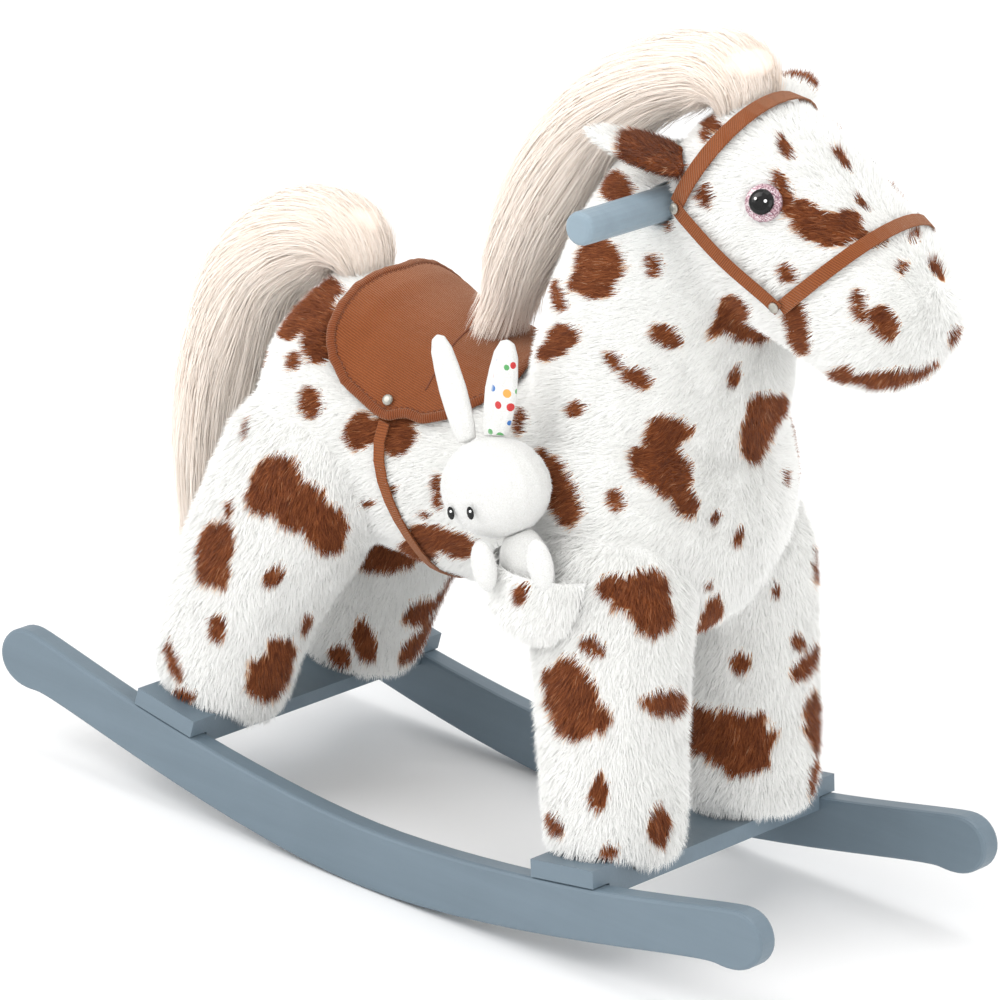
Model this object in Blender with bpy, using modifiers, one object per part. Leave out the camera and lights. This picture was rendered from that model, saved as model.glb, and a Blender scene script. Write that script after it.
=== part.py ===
"""A plush rocking horse on two wooden rockers: metres, +Z up, the horse faces +X."""

import math

import bmesh
import bpy
import numpy as np
from mathutils import Matrix, Vector

# Driving dimensions
ROCKER_LENGTH = 0.650
ROCKER_THICKNESS = 0.017
BASE_WIDTH = 0.264
ROCKER_EDGE = 0.0025
GAP = 0.0003
SOFT_GAP = 0.0006

FRONT_CROSS_X = 0.165
REAR_CROSS_X = -0.178
CROSS_WIDTH = 0.051
CROSS_SEAT = 0.0009  # the flat block bridges the slightly hollow top of the rocker
BLOCK_HEIGHT = 0.012
BLOCK_LENGTH = 0.029
STEP_LENGTH = 0.014
PLATFORM_TOP = 0.002
PLATFORM_BOTTOM = -0.009

POST_RADIUS = 0.012
POST_FOOT_Y = 0.067
POST_HEAD_Y = 0.050
SPINE_BOTTOM = 0.262
SPINE_THICKNESS = 0.015
SPINE_HALF_WIDTH = 0.064
SPINE_BACK_X = -0.165
SPINE_FRONT_X = 0.146
NECK_POST_RADIUS = 0.014
HEAD_BLOCK_CENTRE = (0.138, 0.0, 0.489)
HEAD_BLOCK_SIZE = (0.046, 0.070, 0.050)

SCREW_SHAFT_RADIUS = 0.0022
SCREW_HEAD_RADIUS = 0.0048
SCREW_HEAD_HEIGHT = 0.0028
ROCKER_COUNTERBORE = 0.009

HANDLE_RADIUS = 0.0112
HANDLE_HALF_LENGTH = 0.141
HANDLE_AXIS = (0.130, 0.496)  # x and z of the bar's middle line

STRAP_THICKNESS = 0.0014
CROWN_STRAP_WIDTH = 0.0125
BRIDLE_STRAP_WIDTH = 0.0095
GIRTH_STRAP_WIDTH = 0.0085
GIRTH_START = 69.2  # where the girth comes out from under the saddle, degrees from the top
RIVET_RADIUS = 0.0038
EYE_RING_RADIUS = 0.0122
EYE_RADIUS = 0.0083

SADDLE_LIFT = 0.0006
SADDLE_THICKNESS = 0.0045
SEAT_THICKNESS = 0.0068

SIDES = {"right": -1.0, "left": 1.0}

COLOURS = {
    "paint": ((0.223, 0.300, 0.352), 0.42, 0.0),
    "bare_wood": ((0.62, 0.44, 0.26), 0.65, 0.0),
    "steel": ((0.72, 0.73, 0.74), 0.30, 1.0),
    "plush": ((0.87, 0.86, 0.83), 0.95, 0.0),
    "mane_hair": ((0.86, 0.68, 0.55), 0.80, 0.0),
    "saddle_twill": ((0.33, 0.105, 0.035), 0.85, 0.0),
    "strap_tape": ((0.29, 0.095, 0.030), 0.80, 0.0),
    "eye_glitter": ((0.75, 0.42, 0.52), 0.35, 0.2),
    "eye_black": ((0.012, 0.012, 0.014), 0.12, 0.0),
    "bunny_fleece": ((0.88, 0.88, 0.86), 0.92, 0.0),
}


# ---------------------------------------------------------------- scene helpers

def clear_scene():
    for obj in list(bpy.data.objects):
        bpy.data.objects.remove(obj, do_unlink=True)


def collection(name):
    found = bpy.data.collections.new(name)
    bpy.context.scene.collection.children.link(found)
    return found


def material(name):
    found = bpy.data.materials.get(name)
    if found:
        return found
    colour, roughness, metallic = COLOURS[name]
    found = bpy.data.materials.new(name)
    found.use_nodes = True
    shader = found.node_tree.nodes["Principled BSDF"]
    shader.inputs["Base Color"].default_value = (*colour, 1.0)
    shader.inputs["Roughness"].default_value = roughness
    shader.inputs["Metallic"].default_value = metallic
    found.diffuse_color = (*colour, 1.0)
    return found


def add_object(name, data, finish=None):
    obj = bpy.data.objects.new(name, data)
    if finish is None:
        CUTTERS.objects.link(obj)
        obj.hide_render = True
        obj.display_type = "WIRE"
    else:
        PARTS.objects.link(obj)
        obj.data.materials.append(material(finish))
    return obj


def mesh_object(name, bm, finish=None, smooth_degrees=40):
    bmesh.ops.recalc_face_normals(bm, faces=bm.faces)
    mesh = bpy.data.meshes.new(name)
    bm.to_mesh(mesh)
    bm.free()
    mesh.shade_smooth()
    mesh.set_sharp_from_angle(angle=math.radians(smooth_degrees))
    return add_object(name, mesh, finish)


def cut(obj, *cutters):
    for cutter in cutters:
        boolean = obj.modifiers.new(f"minus_{cutter.name}", "BOOLEAN")
        boolean.operation = "DIFFERENCE"
        boolean.object = cutter


def bevel(obj, width, segments=2, angle=35):
    modifier = obj.modifiers.new("rounded_edges", "BEVEL")
    modifier.width = width
    modifier.segments = segments
    modifier.limit_method = "ANGLE"
    modifier.angle_limit = math.radians(angle)


def mesh_from_curve(curve_object, finish):
    """The curve's own shape as a welded mesh, so that holes can be cut in it."""
    depsgraph = bpy.context.evaluated_depsgraph_get()
    mesh = bpy.data.meshes.new_from_object(curve_object.evaluated_get(depsgraph))
    name = curve_object.name
    placed = curve_object.matrix_world.copy()
    bpy.data.objects.remove(curve_object, do_unlink=True)
    bm = bmesh.new()
    bm.from_mesh(mesh)
    bmesh.ops.remove_doubles(bm, verts=bm.verts, dist=1e-5)
    mesh.materials.clear()
    obj = mesh_object(name, bm, finish)
    obj.matrix_world = placed
    return obj


def hang_on_axis(name, place, pieces):
    """An empty on a joint's axis, with the pieces that move along or about it as its children."""
    axis = bpy.data.objects.new(name, None)
    axis.location = place
    axis.empty_display_size = 0.03
    PARTS.objects.link(axis)
    bpy.context.view_layer.update()
    for piece in pieces:
        piece.parent = axis
        piece.matrix_parent_inverse = axis.matrix_world.inverted()


# ---------------------------------------------------------------- plain solids

def along(start, end):
    """A matrix whose +Z runs from start to end, with its origin at start."""
    direction = Vector(end) - Vector(start)
    turn = direction.to_track_quat("Z", "Y").to_matrix().to_4x4()
    return Matrix.Translation(Vector(start)) @ turn


def rod(name, start, end, radius, finish=None, sides=20, end_radius=None):
    length = (Vector(end) - Vector(start)).length
    bm = bmesh.new()
    bmesh.ops.create_cone(
        bm,
        cap_ends=True,
        segments=sides,
        radius1=radius,
        radius2=radius if end_radius is None else end_radius,
        depth=length,
    )
    bmesh.ops.translate(bm, verts=bm.verts, vec=(0, 0, length / 2))
    obj = mesh_object(name, bm, finish)
    obj.matrix_world = along(start, end)
    return obj


def box(name, centre, size, finish=None):
    bm = bmesh.new()
    bmesh.ops.create_cube(bm, size=1.0)
    bmesh.ops.scale(bm, verts=bm.verts, vec=size)
    obj = mesh_object(name, bm, finish)
    obj.location = centre
    return obj


def turned(name, profile, placed, finish=None, steps=20):
    """A solid turned about its own Z axis from (radius, height) points, top to bottom."""
    bm = bmesh.new()
    verts = [bm.verts.new((radius, 0.0, height)) for radius, height in profile]
    for first, second in zip(verts, verts[1:]):
        bm.edges.new((first, second))
    mesh = bpy.data.meshes.new(name)
    bm.to_mesh(mesh)
    bm.free()
    obj = add_object(name, mesh, finish)
    screw = obj.modifiers.new("turned", "SCREW")
    screw.steps = steps
    screw.render_steps = steps
    screw.use_merge_vertices = True
    screw.merge_threshold = 0.00001
    obj.matrix_world = placed
    return obj


def dome_profile(radius, height, skirt, steps=4):
    """Half outline of a round head: a dome above, a flat underside at zero."""
    turns = [math.pi / 2 * k / steps for k in range(steps + 1)]
    arc = [(radius * math.sin(a), skirt + (height - skirt) * math.cos(a)) for a in turns]
    return [*arc, (radius, 0.0), (0.0, 0.0)]


# ---------------------------------------------------------------- soft forms

class Form:
    """A rounded soft shape: oval rings along a smooth path, with domed ends.

    A station is (x, y, z, half_width, half_height). Half width is level and across the path,
    half height is square to both, towards angle 0.
    """

    def __init__(self, stations, start_dome, end_dome):
        self.stations = np.array(stations, float)
        steps = np.diff(self.stations[:, :3], axis=0)
        runs = np.linalg.norm(steps, axis=1)
        self.knots = np.concatenate([[0.0], np.cumsum(runs)])
        self.length = self.knots[-1]
        self.slopes = np.gradient(self.stations, self.knots, axis=0)
        self.domes = (start_dome, end_dome)

    def _station(self, s):
        place = min(max(s, 0.0), 1.0) * self.length
        k = int(min(np.searchsorted(self.knots, place, "right") - 1, len(self.knots) - 2))
        run = self.knots[k + 1] - self.knots[k]
        t = (place - self.knots[k]) / run
        value = (
            (2 * t**3 - 3 * t**2 + 1) * self.stations[k]
            + (t**3 - 2 * t**2 + t) * run * self.slopes[k]
            + (3 * t**2 - 2 * t**3) * self.stations[k + 1]
            + (t**3 - t**2) * run * self.slopes[k + 1]
        )
        return value

    def rounding(self, s):
        factor = 1.0
        for distance, dome in zip((s * self.length, (1 - s) * self.length), self.domes):
            if distance < dome:
                factor *= math.sqrt(max(0.0, 1 - (1 - distance / dome) ** 2))
        return factor

    def axes(self, s):
        ahead = self._station(min(s + 0.004, 1.0))[:3]
        behind = self._station(max(s - 0.004, 0.0))[:3]
        tangent = Vector(ahead - behind).normalized()
        across = Vector((0.0, -1.0, 0.0))
        if abs(tangent.y) > 0.9:
            across = Vector((1.0, 0.0, 0.0))
        upward = across.cross(tangent).normalized()
        across = tangent.cross(upward).normalized()
        return tangent, across, upward

    def bare_point(self, s, angle):
        station = self._station(s)
        _, across, upward = self.axes(s)
        factor = self.rounding(s)
        return (
            Vector(station[:3])
            + across * (station[3] * factor * math.sin(angle))
            + upward * (station[4] * factor * math.cos(angle))
        )

    def normal(self, s, angle):
        """The outward normal. Angle 0 is the top of a level path, and grows towards -Y."""
        tangent, _, _ = self.axes(s)
        if s <= 0.0:
            return -tangent
        if s >= 1.0:
            return tangent
        ds = min(0.004, s, 1 - s)
        along_path = self.bare_point(s + ds, angle) - self.bare_point(s - ds, angle)
        around = self.bare_point(s, angle + 0.01) - self.bare_point(s, angle - 0.01)
        found = around.cross(along_path).normalized()
        outwards = self.bare_point(s, angle) - Vector(self._station(s)[:3])
        return found if found.dot(outwards) >= 0 else -found

    def point(self, s, angle, lift=0.0):
        return self.bare_point(s, angle) + self.normal(s, angle) * lift

    def solid(self, name, finish=None, rings=14, sides=18, lift=0.0):
        bm = bmesh.new()
        places = [(1 - math.cos(math.pi * k / rings)) / 2 for k in range(1, rings)]
        start = bm.verts.new(self.point(0.0, 0.0, lift))
        end = bm.verts.new(self.point(1.0, 0.0, lift))
        turns = [2 * math.pi * j / sides for j in range(sides)]
        grid = [[bm.verts.new(self.point(s, a, lift)) for a in turns] for s in places]
        for j in range(sides):
            after = (j + 1) % sides
            bm.faces.new((start, grid[0][j], grid[0][after]))
            bm.faces.new((end, grid[-1][after], grid[-1][j]))
            for first, second in zip(grid, grid[1:]):
                bm.faces.new((first[j], second[j], second[after], first[after]))
        bmesh.ops.triangulate(bm, faces=bm.faces)  # flat faces, so that cuts follow them exactly
        return mesh_object(name, bm, finish, smooth_degrees=60)


def grid_solid(name, rows, finish):
    """A solid from rows of equal loops of points, each loop one cross-section."""
    bm = bmesh.new()
    loops = [[bm.verts.new(p) for p in row] for row in rows]
    count = len(loops[0])
    for first, second in zip(loops, loops[1:]):
        for j in range(count):
            after = (j + 1) % count
            bm.faces.new((first[j], second[j], second[after], first[after]))
    bm.faces.new(loops[0])
    bm.faces.new(list(reversed(loops[-1])))
    return mesh_object(name, bm, finish)


def strap(name, form, route, width, lift, finish, steps=18):
    """A flat tape laid on a form. route(t) gives its middle as (s, angle) for t from 0 to 1."""
    rows = []
    for k in range(steps + 1):
        t = k / steps
        before = form.point(*route(max(t - 0.01, 0.0)), lift)
        after = form.point(*route(min(t + 0.01, 1.0)), lift)
        place = route(t)
        up = form.normal(*place)
        side = (after - before).normalized().cross(up).normalized() * (width / 2)
        inner = form.point(*place, lift)
        outer = form.point(*place, lift + STRAP_THICKNESS)
        rows.append([inner - side, inner + side, outer + side, outer - side])
    return grid_solid(name, rows, finish)


def panel(name, form, corner, cells, lift, thickness, finish):
    """A sheet laid on a form: corner(u, v) gives (s, angle), and thickness(u, v) its thickness."""
    bm = bmesh.new()
    columns, rows = cells
    low, high = [], []
    for i in range(columns + 1):
        for layer in (low, high):
            layer.append([])
        for j in range(rows + 1):
            u, v = i / columns, j / rows
            place = corner(u, v)
            low[i].append(bm.verts.new(form.point(*place, lift)))
            high[i].append(bm.verts.new(form.point(*place, lift + thickness(u, v))))
    for layer in (low, high):
        for i in range(columns):
            for j in range(rows):
                quad = layer[i][j], layer[i + 1][j], layer[i + 1][j + 1], layer[i][j + 1]
                bm.faces.new(quad)
    rim = [(i, 0) for i in range(columns)]
    rim += [(columns, j) for j in range(rows)]
    rim += [(i, rows) for i in range(columns, 0, -1)]
    rim += [(0, j) for j in range(rows, 0, -1)]
    for (i, j), (m, n) in zip(rim, rim[1:] + rim[:1]):
        bm.faces.new((low[i][j], low[m][n], high[m][n], high[i][j]))
    bmesh.ops.triangulate(bm, faces=bm.faces)
    return mesh_object(name, bm, finish)


# ---------------------------------------------------------------- the base

ROCKER_OUTLINE = [
    # (x, z, slope of the edge there, handle length): the front half, from the lowest point
    (0.0, 0.0, 0.0, 0.075),
    (0.2340, 0.0342, 0.225, 0.066),
    (0.3000, 0.0447, 0.04, 0.014),
    (ROCKER_LENGTH / 2, 0.0655, None, 0.0115),
    (0.3010, 0.0854, 0.13, 0.014),
    (0.1830, 0.0606, 0.172, 0.045),
    (0.0, 0.0418, 0.0, 0.060),
]


def rocker_handles(x, z, slope, reach, towards):
    """A point's two curve handles; towards is +1 where the outline runs forwards."""
    if slope is None:
        return (x, z - reach), (x, z + reach)
    length = math.hypot(1.0, slope)
    dx, dz = towards * reach / length, towards * reach * slope / length
    return (x - dx, z - dz), (x + dx, z + dz)


def rocker_curve(name):
    """Both halves of the outline as one closed curve, in the curve's own XY plane."""
    knots = []
    for x, z, slope, reach in ROCKER_OUTLINE:
        towards = 1.0 if z < 0.06 and not (x < 0.25 and z > 0.035) else -1.0
        before, after = rocker_handles(x, z, slope, reach, towards)
        knots.append(((x, z), before, after))
    for (x, z), before, after in reversed(knots[1:-1]):
        knots.append(((-x, z), (-after[0], after[1]), (-before[0], before[1])))
    curve = bpy.data.curves.new(name, "CURVE")
    curve.dimensions = "2D"
    curve.fill_mode = "BOTH"
    curve.resolution_u = 9
    curve.extrude = ROCKER_THICKNESS / 2 - ROCKER_EDGE
    curve.bevel_depth = ROCKER_EDGE
    curve.bevel_resolution = 1
    curve.offset = -ROCKER_EDGE
    spline = curve.splines.new("BEZIER")
    spline.bezier_points.add(len(knots) - 1)
    for point, (place, before, after) in zip(spline.bezier_points, knots):
        point.co = (*place, 0.0)
        point.handle_left_type = "FREE"
        point.handle_right_type = "FREE"
        point.handle_left = (*before, 0.0)
        point.handle_right = (*after, 0.0)
    spline.use_cyclic_u = True
    return curve


def top_of_rocker(x):
    """Height and slope of the rocker's top edge at x, on the curve between its knots."""
    x1, z1, slope, reach = ROCKER_OUTLINE[5]
    _, z0, _, reach0 = ROCKER_OUTLINE[6]
    far = math.hypot(1.0, slope)
    control = [(0.0, z0), (reach0, z0), (x1 - reach / far, z1 - reach * slope / far), (x1, z1)]
    low, high = 0.0, 1.0
    for _ in range(40):
        t = (low + high) / 2
        weights = ((1 - t) ** 3, 3 * t * (1 - t) ** 2, 3 * t * t * (1 - t), t**3)
        if sum(w * c[0] for w, c in zip(weights, control)) < abs(x):
            low = t
        else:
            high = t
    height = sum(w * c[1] for w, c in zip(weights, control))
    rates = (3 * (1 - t) ** 2, 6 * t * (1 - t), 3 * t * t)
    steps = [(b[0] - a[0], b[1] - a[1]) for a, b in zip(control, control[1:])]
    rise = sum(r * s[1] for r, s in zip(rates, steps))
    run = sum(r * s[0] for r, s in zip(rates, steps))
    return height, math.copysign(rise / run, x)


def cross_frame(x):
    """The frame of a cross-member: origin on the rockers' tops, +Z square to them there."""
    height, slope = top_of_rocker(x)
    tilt = Matrix.Rotation(-math.atan(slope), 4, "Y")
    return Matrix.Translation((x, 0.0, height + CROSS_SEAT)) @ tilt


def cross_outline(grow=0.0, depth=None):
    """Half of a cross-member's end view as (y, z), from the outer end inwards."""
    outer = BASE_WIDTH / 2 + grow
    flat_end = BASE_WIDTH / 2 - BLOCK_LENGTH - grow
    steps = 5
    top = [(outer, 0.0), (outer, BLOCK_HEIGHT + grow)]
    for k in range(steps + 1):
        turn = math.pi / 2 * k / steps
        y = flat_end - STEP_LENGTH * math.sin(turn)
        drop = (BLOCK_HEIGHT - PLATFORM_TOP) * (1 - math.cos(turn))
        top.append((y, BLOCK_HEIGHT + grow - drop))
    if depth is not None:
        return [(outer, depth), *top[1:]]
    inner_face = BASE_WIDTH / 2 - ROCKER_THICKNESS - GAP
    return [(inner_face, PLATFORM_BOTTOM), (inner_face, 0.0), *top]


def cross_prism(name, x, width, grow=0.0, depth=None, finish=None):
    half = cross_outline(grow, depth)
    ring = half + [(-y, z) for y, z in reversed(half)]
    rows = [[(end, y, z) for y, z in ring] for end in (-width / 2, width / 2)]
    obj = grid_solid(name, rows, finish)
    obj.matrix_world = cross_frame(x)
    return obj


def post_ends(x, side):
    """Foot and head of a leg post: it stands square on its cross-member and leans inwards."""
    frame = cross_frame(x)
    foot = frame @ Vector((0.0, side * POST_FOOT_Y, PLATFORM_TOP + GAP))
    rise = (SPINE_BOTTOM - 2 * GAP - foot.z) / (frame.to_3x3() @ Vector((0, 0, 1))).z
    head = foot + (frame.to_3x3() @ Vector((0, 0, 1))) * rise
    head.y = side * POST_HEAD_Y
    return foot, head


def legs():
    for end, x in (("front", FRONT_CROSS_X), ("rear", REAR_CROSS_X)):
        for hand, side in SIDES.items():
            yield end, x, hand, side


def build_rockers():
    rockers = {}
    for hand, side in SIDES.items():
        name = f"rocker_{hand}"
        obj = bpy.data.objects.new(name, rocker_curve(name))
        PARTS.objects.link(obj)
        obj.location.y = side * (BASE_WIDTH - ROCKER_THICKNESS) / 2
        obj.rotation_euler.x = math.pi / 2
        bpy.context.view_layer.update()
        rockers[hand] = mesh_from_curve(obj, "paint")
    return rockers


def build_cross_members():
    members = {}
    for end, x in (("front", FRONT_CROSS_X), ("rear", REAR_CROSS_X)):
        obj = cross_prism(f"cross_member_{end}", x, CROSS_WIDTH, finish="paint")
        members[end] = obj
    return members


def screw(name, frame, y, seat, length):
    """A pan-head screw that points up; seat is the height of the face under its head."""
    bottom = seat - SCREW_HEAD_HEIGHT - GAP
    profile = [
        (0.0, seat + length),
        (SCREW_SHAFT_RADIUS * 0.4, seat + length - 0.0015),
        (SCREW_SHAFT_RADIUS, seat + length - 0.005),
        (SCREW_SHAFT_RADIUS, seat - GAP),
        (SCREW_HEAD_RADIUS, seat - GAP),
        (SCREW_HEAD_RADIUS, bottom + 0.0012),
        (SCREW_HEAD_RADIUS * 0.7, bottom),
        (0.0, bottom),
    ]
    return turned(name, profile, frame @ Matrix.Translation((0, y, 0)), "steel", steps=12)


def build_screws(rockers, members, posts):
    """One screw up through each rocker into the block, and one through the platform into a post."""
    rocker_y = (BASE_WIDTH - ROCKER_THICKNESS) / 2
    for end, x, hand, side in legs():
        frame = cross_frame(x)
        y = side * rocker_y
        seat = -CROSS_SEAT - 0.0400 + ROCKER_COUNTERBORE
        screw(f"rocker_screw_{end}_{hand}", frame, y, seat, -seat + 0.008)
        clear = SCREW_SHAFT_RADIUS + GAP
        hole = rod(f"hole_{end}_{hand}", frame @ Vector((0, y, seat - 0.001)),
                   frame @ Vector((0, y, 0.0086)), clear, sides=12)
        bore = rod(f"counterbore_{end}_{hand}", frame @ Vector((0, y, seat - 0.030)),
                   frame @ Vector((0, y, seat)), SCREW_HEAD_RADIUS + 0.0006, sides=16)
        cut(rockers[hand], hole, bore)
        cut(members[end], hole)
        foot_y = side * POST_FOOT_Y
        screw(f"leg_screw_{end}_{hand}", frame, foot_y, PLATFORM_BOTTOM, 0.034)
        pilot = rod(f"pilot_{end}_{hand}", frame @ Vector((0, foot_y, PLATFORM_BOTTOM - 0.001)),
                    frame @ Vector((0, foot_y, PLATFORM_BOTTOM + 0.0348)), clear, sides=12)
        cut(members[end], pilot)
        cut(posts[end, hand], pilot)


# ---------------------------------------------------------------- the wooden frame inside

def build_frame():
    posts = {}
    for end, x, hand, side in legs():
        foot, head = post_ends(x, side)
        posts[end, hand] = rod(f"leg_post_{end}_{hand}", foot, head, POST_RADIUS, "bare_wood", 16)
    # each post's ends are cut level with the boards that it meets
    for (end, hand), post in posts.items():
        cut(post, SPACES[f"trim_{end}"], SPACES["spine"])
    centre = ((SPINE_BACK_X + SPINE_FRONT_X) / 2, 0.0, SPINE_BOTTOM + SPINE_THICKNESS / 2)
    size = (SPINE_FRONT_X - SPINE_BACK_X, 2 * SPINE_HALF_WIDTH, SPINE_THICKNESS)
    spine = box("spine_board", centre, size, "bare_wood")
    bevel(spine, 0.002, 1)
    foot, head = neck_post_ends()
    neck = rod("neck_post", foot, head, NECK_POST_RADIUS, "bare_wood", 16)
    cut(neck, SPACES["spine"], SPACES["head_block"])
    block = box("head_block", HEAD_BLOCK_CENTRE, HEAD_BLOCK_SIZE, "bare_wood")
    cut(block, SPACES["handle"])
    return posts


def neck_post_ends():
    foot = Vector((0.104, 0.0, SPINE_BOTTOM + SPINE_THICKNESS - 0.004))
    head = Vector((HEAD_BLOCK_CENTRE[0], 0.0, HEAD_BLOCK_CENTRE[2] - HEAD_BLOCK_SIZE[2] / 2 + 0.004))
    return foot, head


def handle_place():
    """A frame at the handle's middle with +Z along it, to the horse's left."""
    x, z = HANDLE_AXIS
    return Matrix.Translation((x, 0.0, z)) @ Matrix.Rotation(-math.pi / 2, 4, "X")


def build_handle():
    """One bar right through the head block, rounded at both ends."""
    edge = 0.004
    upper = []
    for k in range(4):
        turn = math.pi / 2 * k / 3
        radius = HANDLE_RADIUS - edge + edge * math.sin(turn)
        upper.append((radius, HANDLE_HALF_LENGTH - edge + edge * math.cos(turn)))
    lower = [(radius, -height) for radius, height in reversed(upper)]
    profile = [(0.0, HANDLE_HALF_LENGTH), *upper, *lower, (0.0, -HANDLE_HALF_LENGTH)]
    turned("handle_bar", profile, handle_place(), "paint")


# ---------------------------------------------------------------- the plush body

TORSO = Form(
    [
        (-0.194, 0.0, 0.292, 0.088, 0.078),
        (-0.150, 0.0, 0.289, 0.096, 0.089),
        (-0.100, 0.0, 0.277, 0.091, 0.085),
        (-0.040, 0.0, 0.269, 0.087, 0.084),
        (0.020, 0.0, 0.270, 0.088, 0.083),
        (0.070, 0.0, 0.279, 0.092, 0.091),
        (0.130, 0.0, 0.294, 0.097, 0.101),
        (0.199, 0.0, 0.306, 0.088, 0.094),
    ],
    0.070,
    0.070,
)

NECK = Form(
    [
        (0.102, 0.0, 0.285, 0.080, 0.074),
        (0.106, 0.0, 0.345, 0.086, 0.086),
        (0.110, 0.0, 0.400, 0.078, 0.085),
        (0.122, 0.0, 0.455, 0.067, 0.077),
        (0.138, 0.0, 0.515, 0.058, 0.058),
    ],
    0.040,
    0.030,
)

HEAD = Form(
    [
        (0.112, 0.0, 0.520, 0.058, 0.062),
        (0.150, 0.0, 0.507, 0.063, 0.067),
        (0.192, 0.0, 0.490, 0.064, 0.069),
        (0.236, 0.0, 0.471, 0.057, 0.062),
        (0.272, 0.0, 0.455, 0.056, 0.057),
        (0.3205, 0.0, 0.434, 0.051, 0.053),
    ],
    0.050,
    0.050,
)

LEG_FORMS = {}
for _hand, _side in SIDES.items():
    LEG_FORMS["front", _hand] = Form(
        [
            (0.1640, _side * 0.0720, 0.050, 0.0450, 0.0430),
            (0.1600, _side * 0.0730, 0.085, 0.0490, 0.0465),
            (0.1520, _side * 0.0730, 0.130, 0.0500, 0.0490),
            (0.1420, _side * 0.0700, 0.185, 0.0500, 0.0540),
            (0.1310, _side * 0.0650, 0.240, 0.0490, 0.0590),
            (0.1250, _side * 0.0590, 0.290, 0.0440, 0.0530),
        ],
        0.012,
        0.040,
    )
    LEG_FORMS["rear", _hand] = Form(
        [
            (-0.1790, _side * 0.0700, 0.050, 0.0450, 0.0440),
            (-0.1760, _side * 0.0720, 0.085, 0.0480, 0.0480),
            (-0.1680, _side * 0.0730, 0.130, 0.0510, 0.0530),
            (-0.1490, _side * 0.0700, 0.185, 0.0530, 0.0590),
            (-0.1250, _side * 0.0640, 0.245, 0.0490, 0.0660),
            (-0.1150, _side * 0.0570, 0.300, 0.0400, 0.0580),
        ],
        0.012,
        0.045,
    )

MANE = Form(
    [
        (0.1640, 0.0, 0.5800, 0.0300, 0.0150),
        (0.1280, 0.0, 0.5780, 0.0400, 0.0230),
        (0.0850, 0.0, 0.5600, 0.0420, 0.0250),
        (0.0400, 0.0, 0.5190, 0.0420, 0.0260),
        (0.0100, 0.0, 0.4650, 0.0400, 0.0260),
        (-0.0080, 0.0, 0.4150, 0.0340, 0.0200),
        (-0.0120, 0.0, 0.3950, 0.0240, 0.0140),
    ],
    0.020,
    0.020,
)

TAIL = Form(
    [
        (-0.1330, 0.0, 0.3890, 0.0180, 0.0120),
        (-0.1640, 0.0, 0.3930, 0.0290, 0.0190),
        (-0.2000, 0.0, 0.3800, 0.0380, 0.0250),
        (-0.2310, 0.0, 0.3420, 0.0420, 0.0280),
        (-0.2470, 0.0, 0.2830, 0.0430, 0.0280),
        (-0.2520, 0.0, 0.2150, 0.0410, 0.0260),
        (-0.2510, 0.0, 0.1450, 0.0300, 0.0180),
    ],
    0.020,
    0.035,
)

TAIL_HINGE = (-0.1350, 0.0, 0.3820)

EARS = {
    "right": ((0.1400, -0.0460, 0.5240), (-0.056, -0.035, 0.015)),
    "left": ((0.1325, 0.0430, 0.5400), (0.0045, 0.0425, 0.0195)),
}
EAR_TIPS = {"right": 0.009, "left": 0.014}

EYE_PLACE = (0.399, math.radians(60.7))
CROWN_TOP = (0.186, 0.0)
CROWN_END = (0.180, math.radians(94.0))
NOSE_TOP = (0.698, 0.0)
NOSE_END = (0.604, math.radians(104.5))


def ear_form(hand):
    base, reach = EARS[hand]
    base, reach = Vector(base), Vector(reach)
    tip = (1.0, EAR_TIPS[hand], 0.005)
    marks = ((-0.12, 0.016, 0.008), (0.2, 0.023, 0.0085), (0.55, 0.022, 0.007), tip)
    return Form([(*(base + reach * t), wide, thick) for t, wide, thick in marks], 0.012, 0.016)


def build_plush():
    torso = TORSO.solid("plush_torso", "plush", 16, 20)
    neck = NECK.solid("plush_neck", "plush", 12, 20)
    head = HEAD.solid("plush_head", "plush", 14, 20)
    for (end, hand), form in LEG_FORMS.items():
        name = f"plush_leg_{end}_{hand}"
        leg = form.solid(name, "plush", 10, 16)
        cut(leg, SPACES[f"platform_{end}"], SPACES["torso"], SPACES[f"post_{end}_{hand}"])
        cut(torso, SPACES[f"post_{end}_{hand}"])
    cut(torso, SPACES["spine"], SPACES["neck_post"])
    cut(neck, SPACES["torso"], SPACES["neck_post"], SPACES["head_block"])
    cut(head, SPACES["neck"], SPACES["head_block"], SPACES["neck_post"])
    cut(head, SPACES["handle"])
    cut(neck, SPACES["handle"])
    for hand in SIDES:
        cut(head, SPACES[f"eye_{hand}"])
        ear = ear_form(hand).solid(f"ear_{hand}", "plush", 8, 12)
        cut(ear, SPACES["head"])
    mane = MANE.solid("mane", "mane_hair", 14, 14)
    cut(mane, SPACES["neck"], SPACES["head"], SPACES["torso"])
    tail = TAIL.solid("tail", "mane_hair", 14, 14)
    cut(tail, SPACES["torso"])
    hang_on_axis("tail_hinge_axis", TAIL_HINGE, [tail])


def eye_frame(hand, lift):
    place, angle = EYE_PLACE
    turn = angle if hand == "right" else -angle
    base = HEAD.point(place, turn, lift)
    return along(base, base + HEAD.normal(place, turn))


def build_eyes():
    for hand in SIDES:
        ring = dome_profile(EYE_RING_RADIUS, 0.0062, 0.0030)
        turned(f"eye_ring_{hand}", ring, eye_frame(hand, -0.0030), "eye_glitter")
        pupil = dome_profile(EYE_RADIUS, 0.0034, 0.0006)
        turned(f"eye_pupil_{hand}", pupil, eye_frame(hand, 0.0036), "eye_black")


# ---------------------------------------------------------------- saddle, girth and bridle

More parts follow.
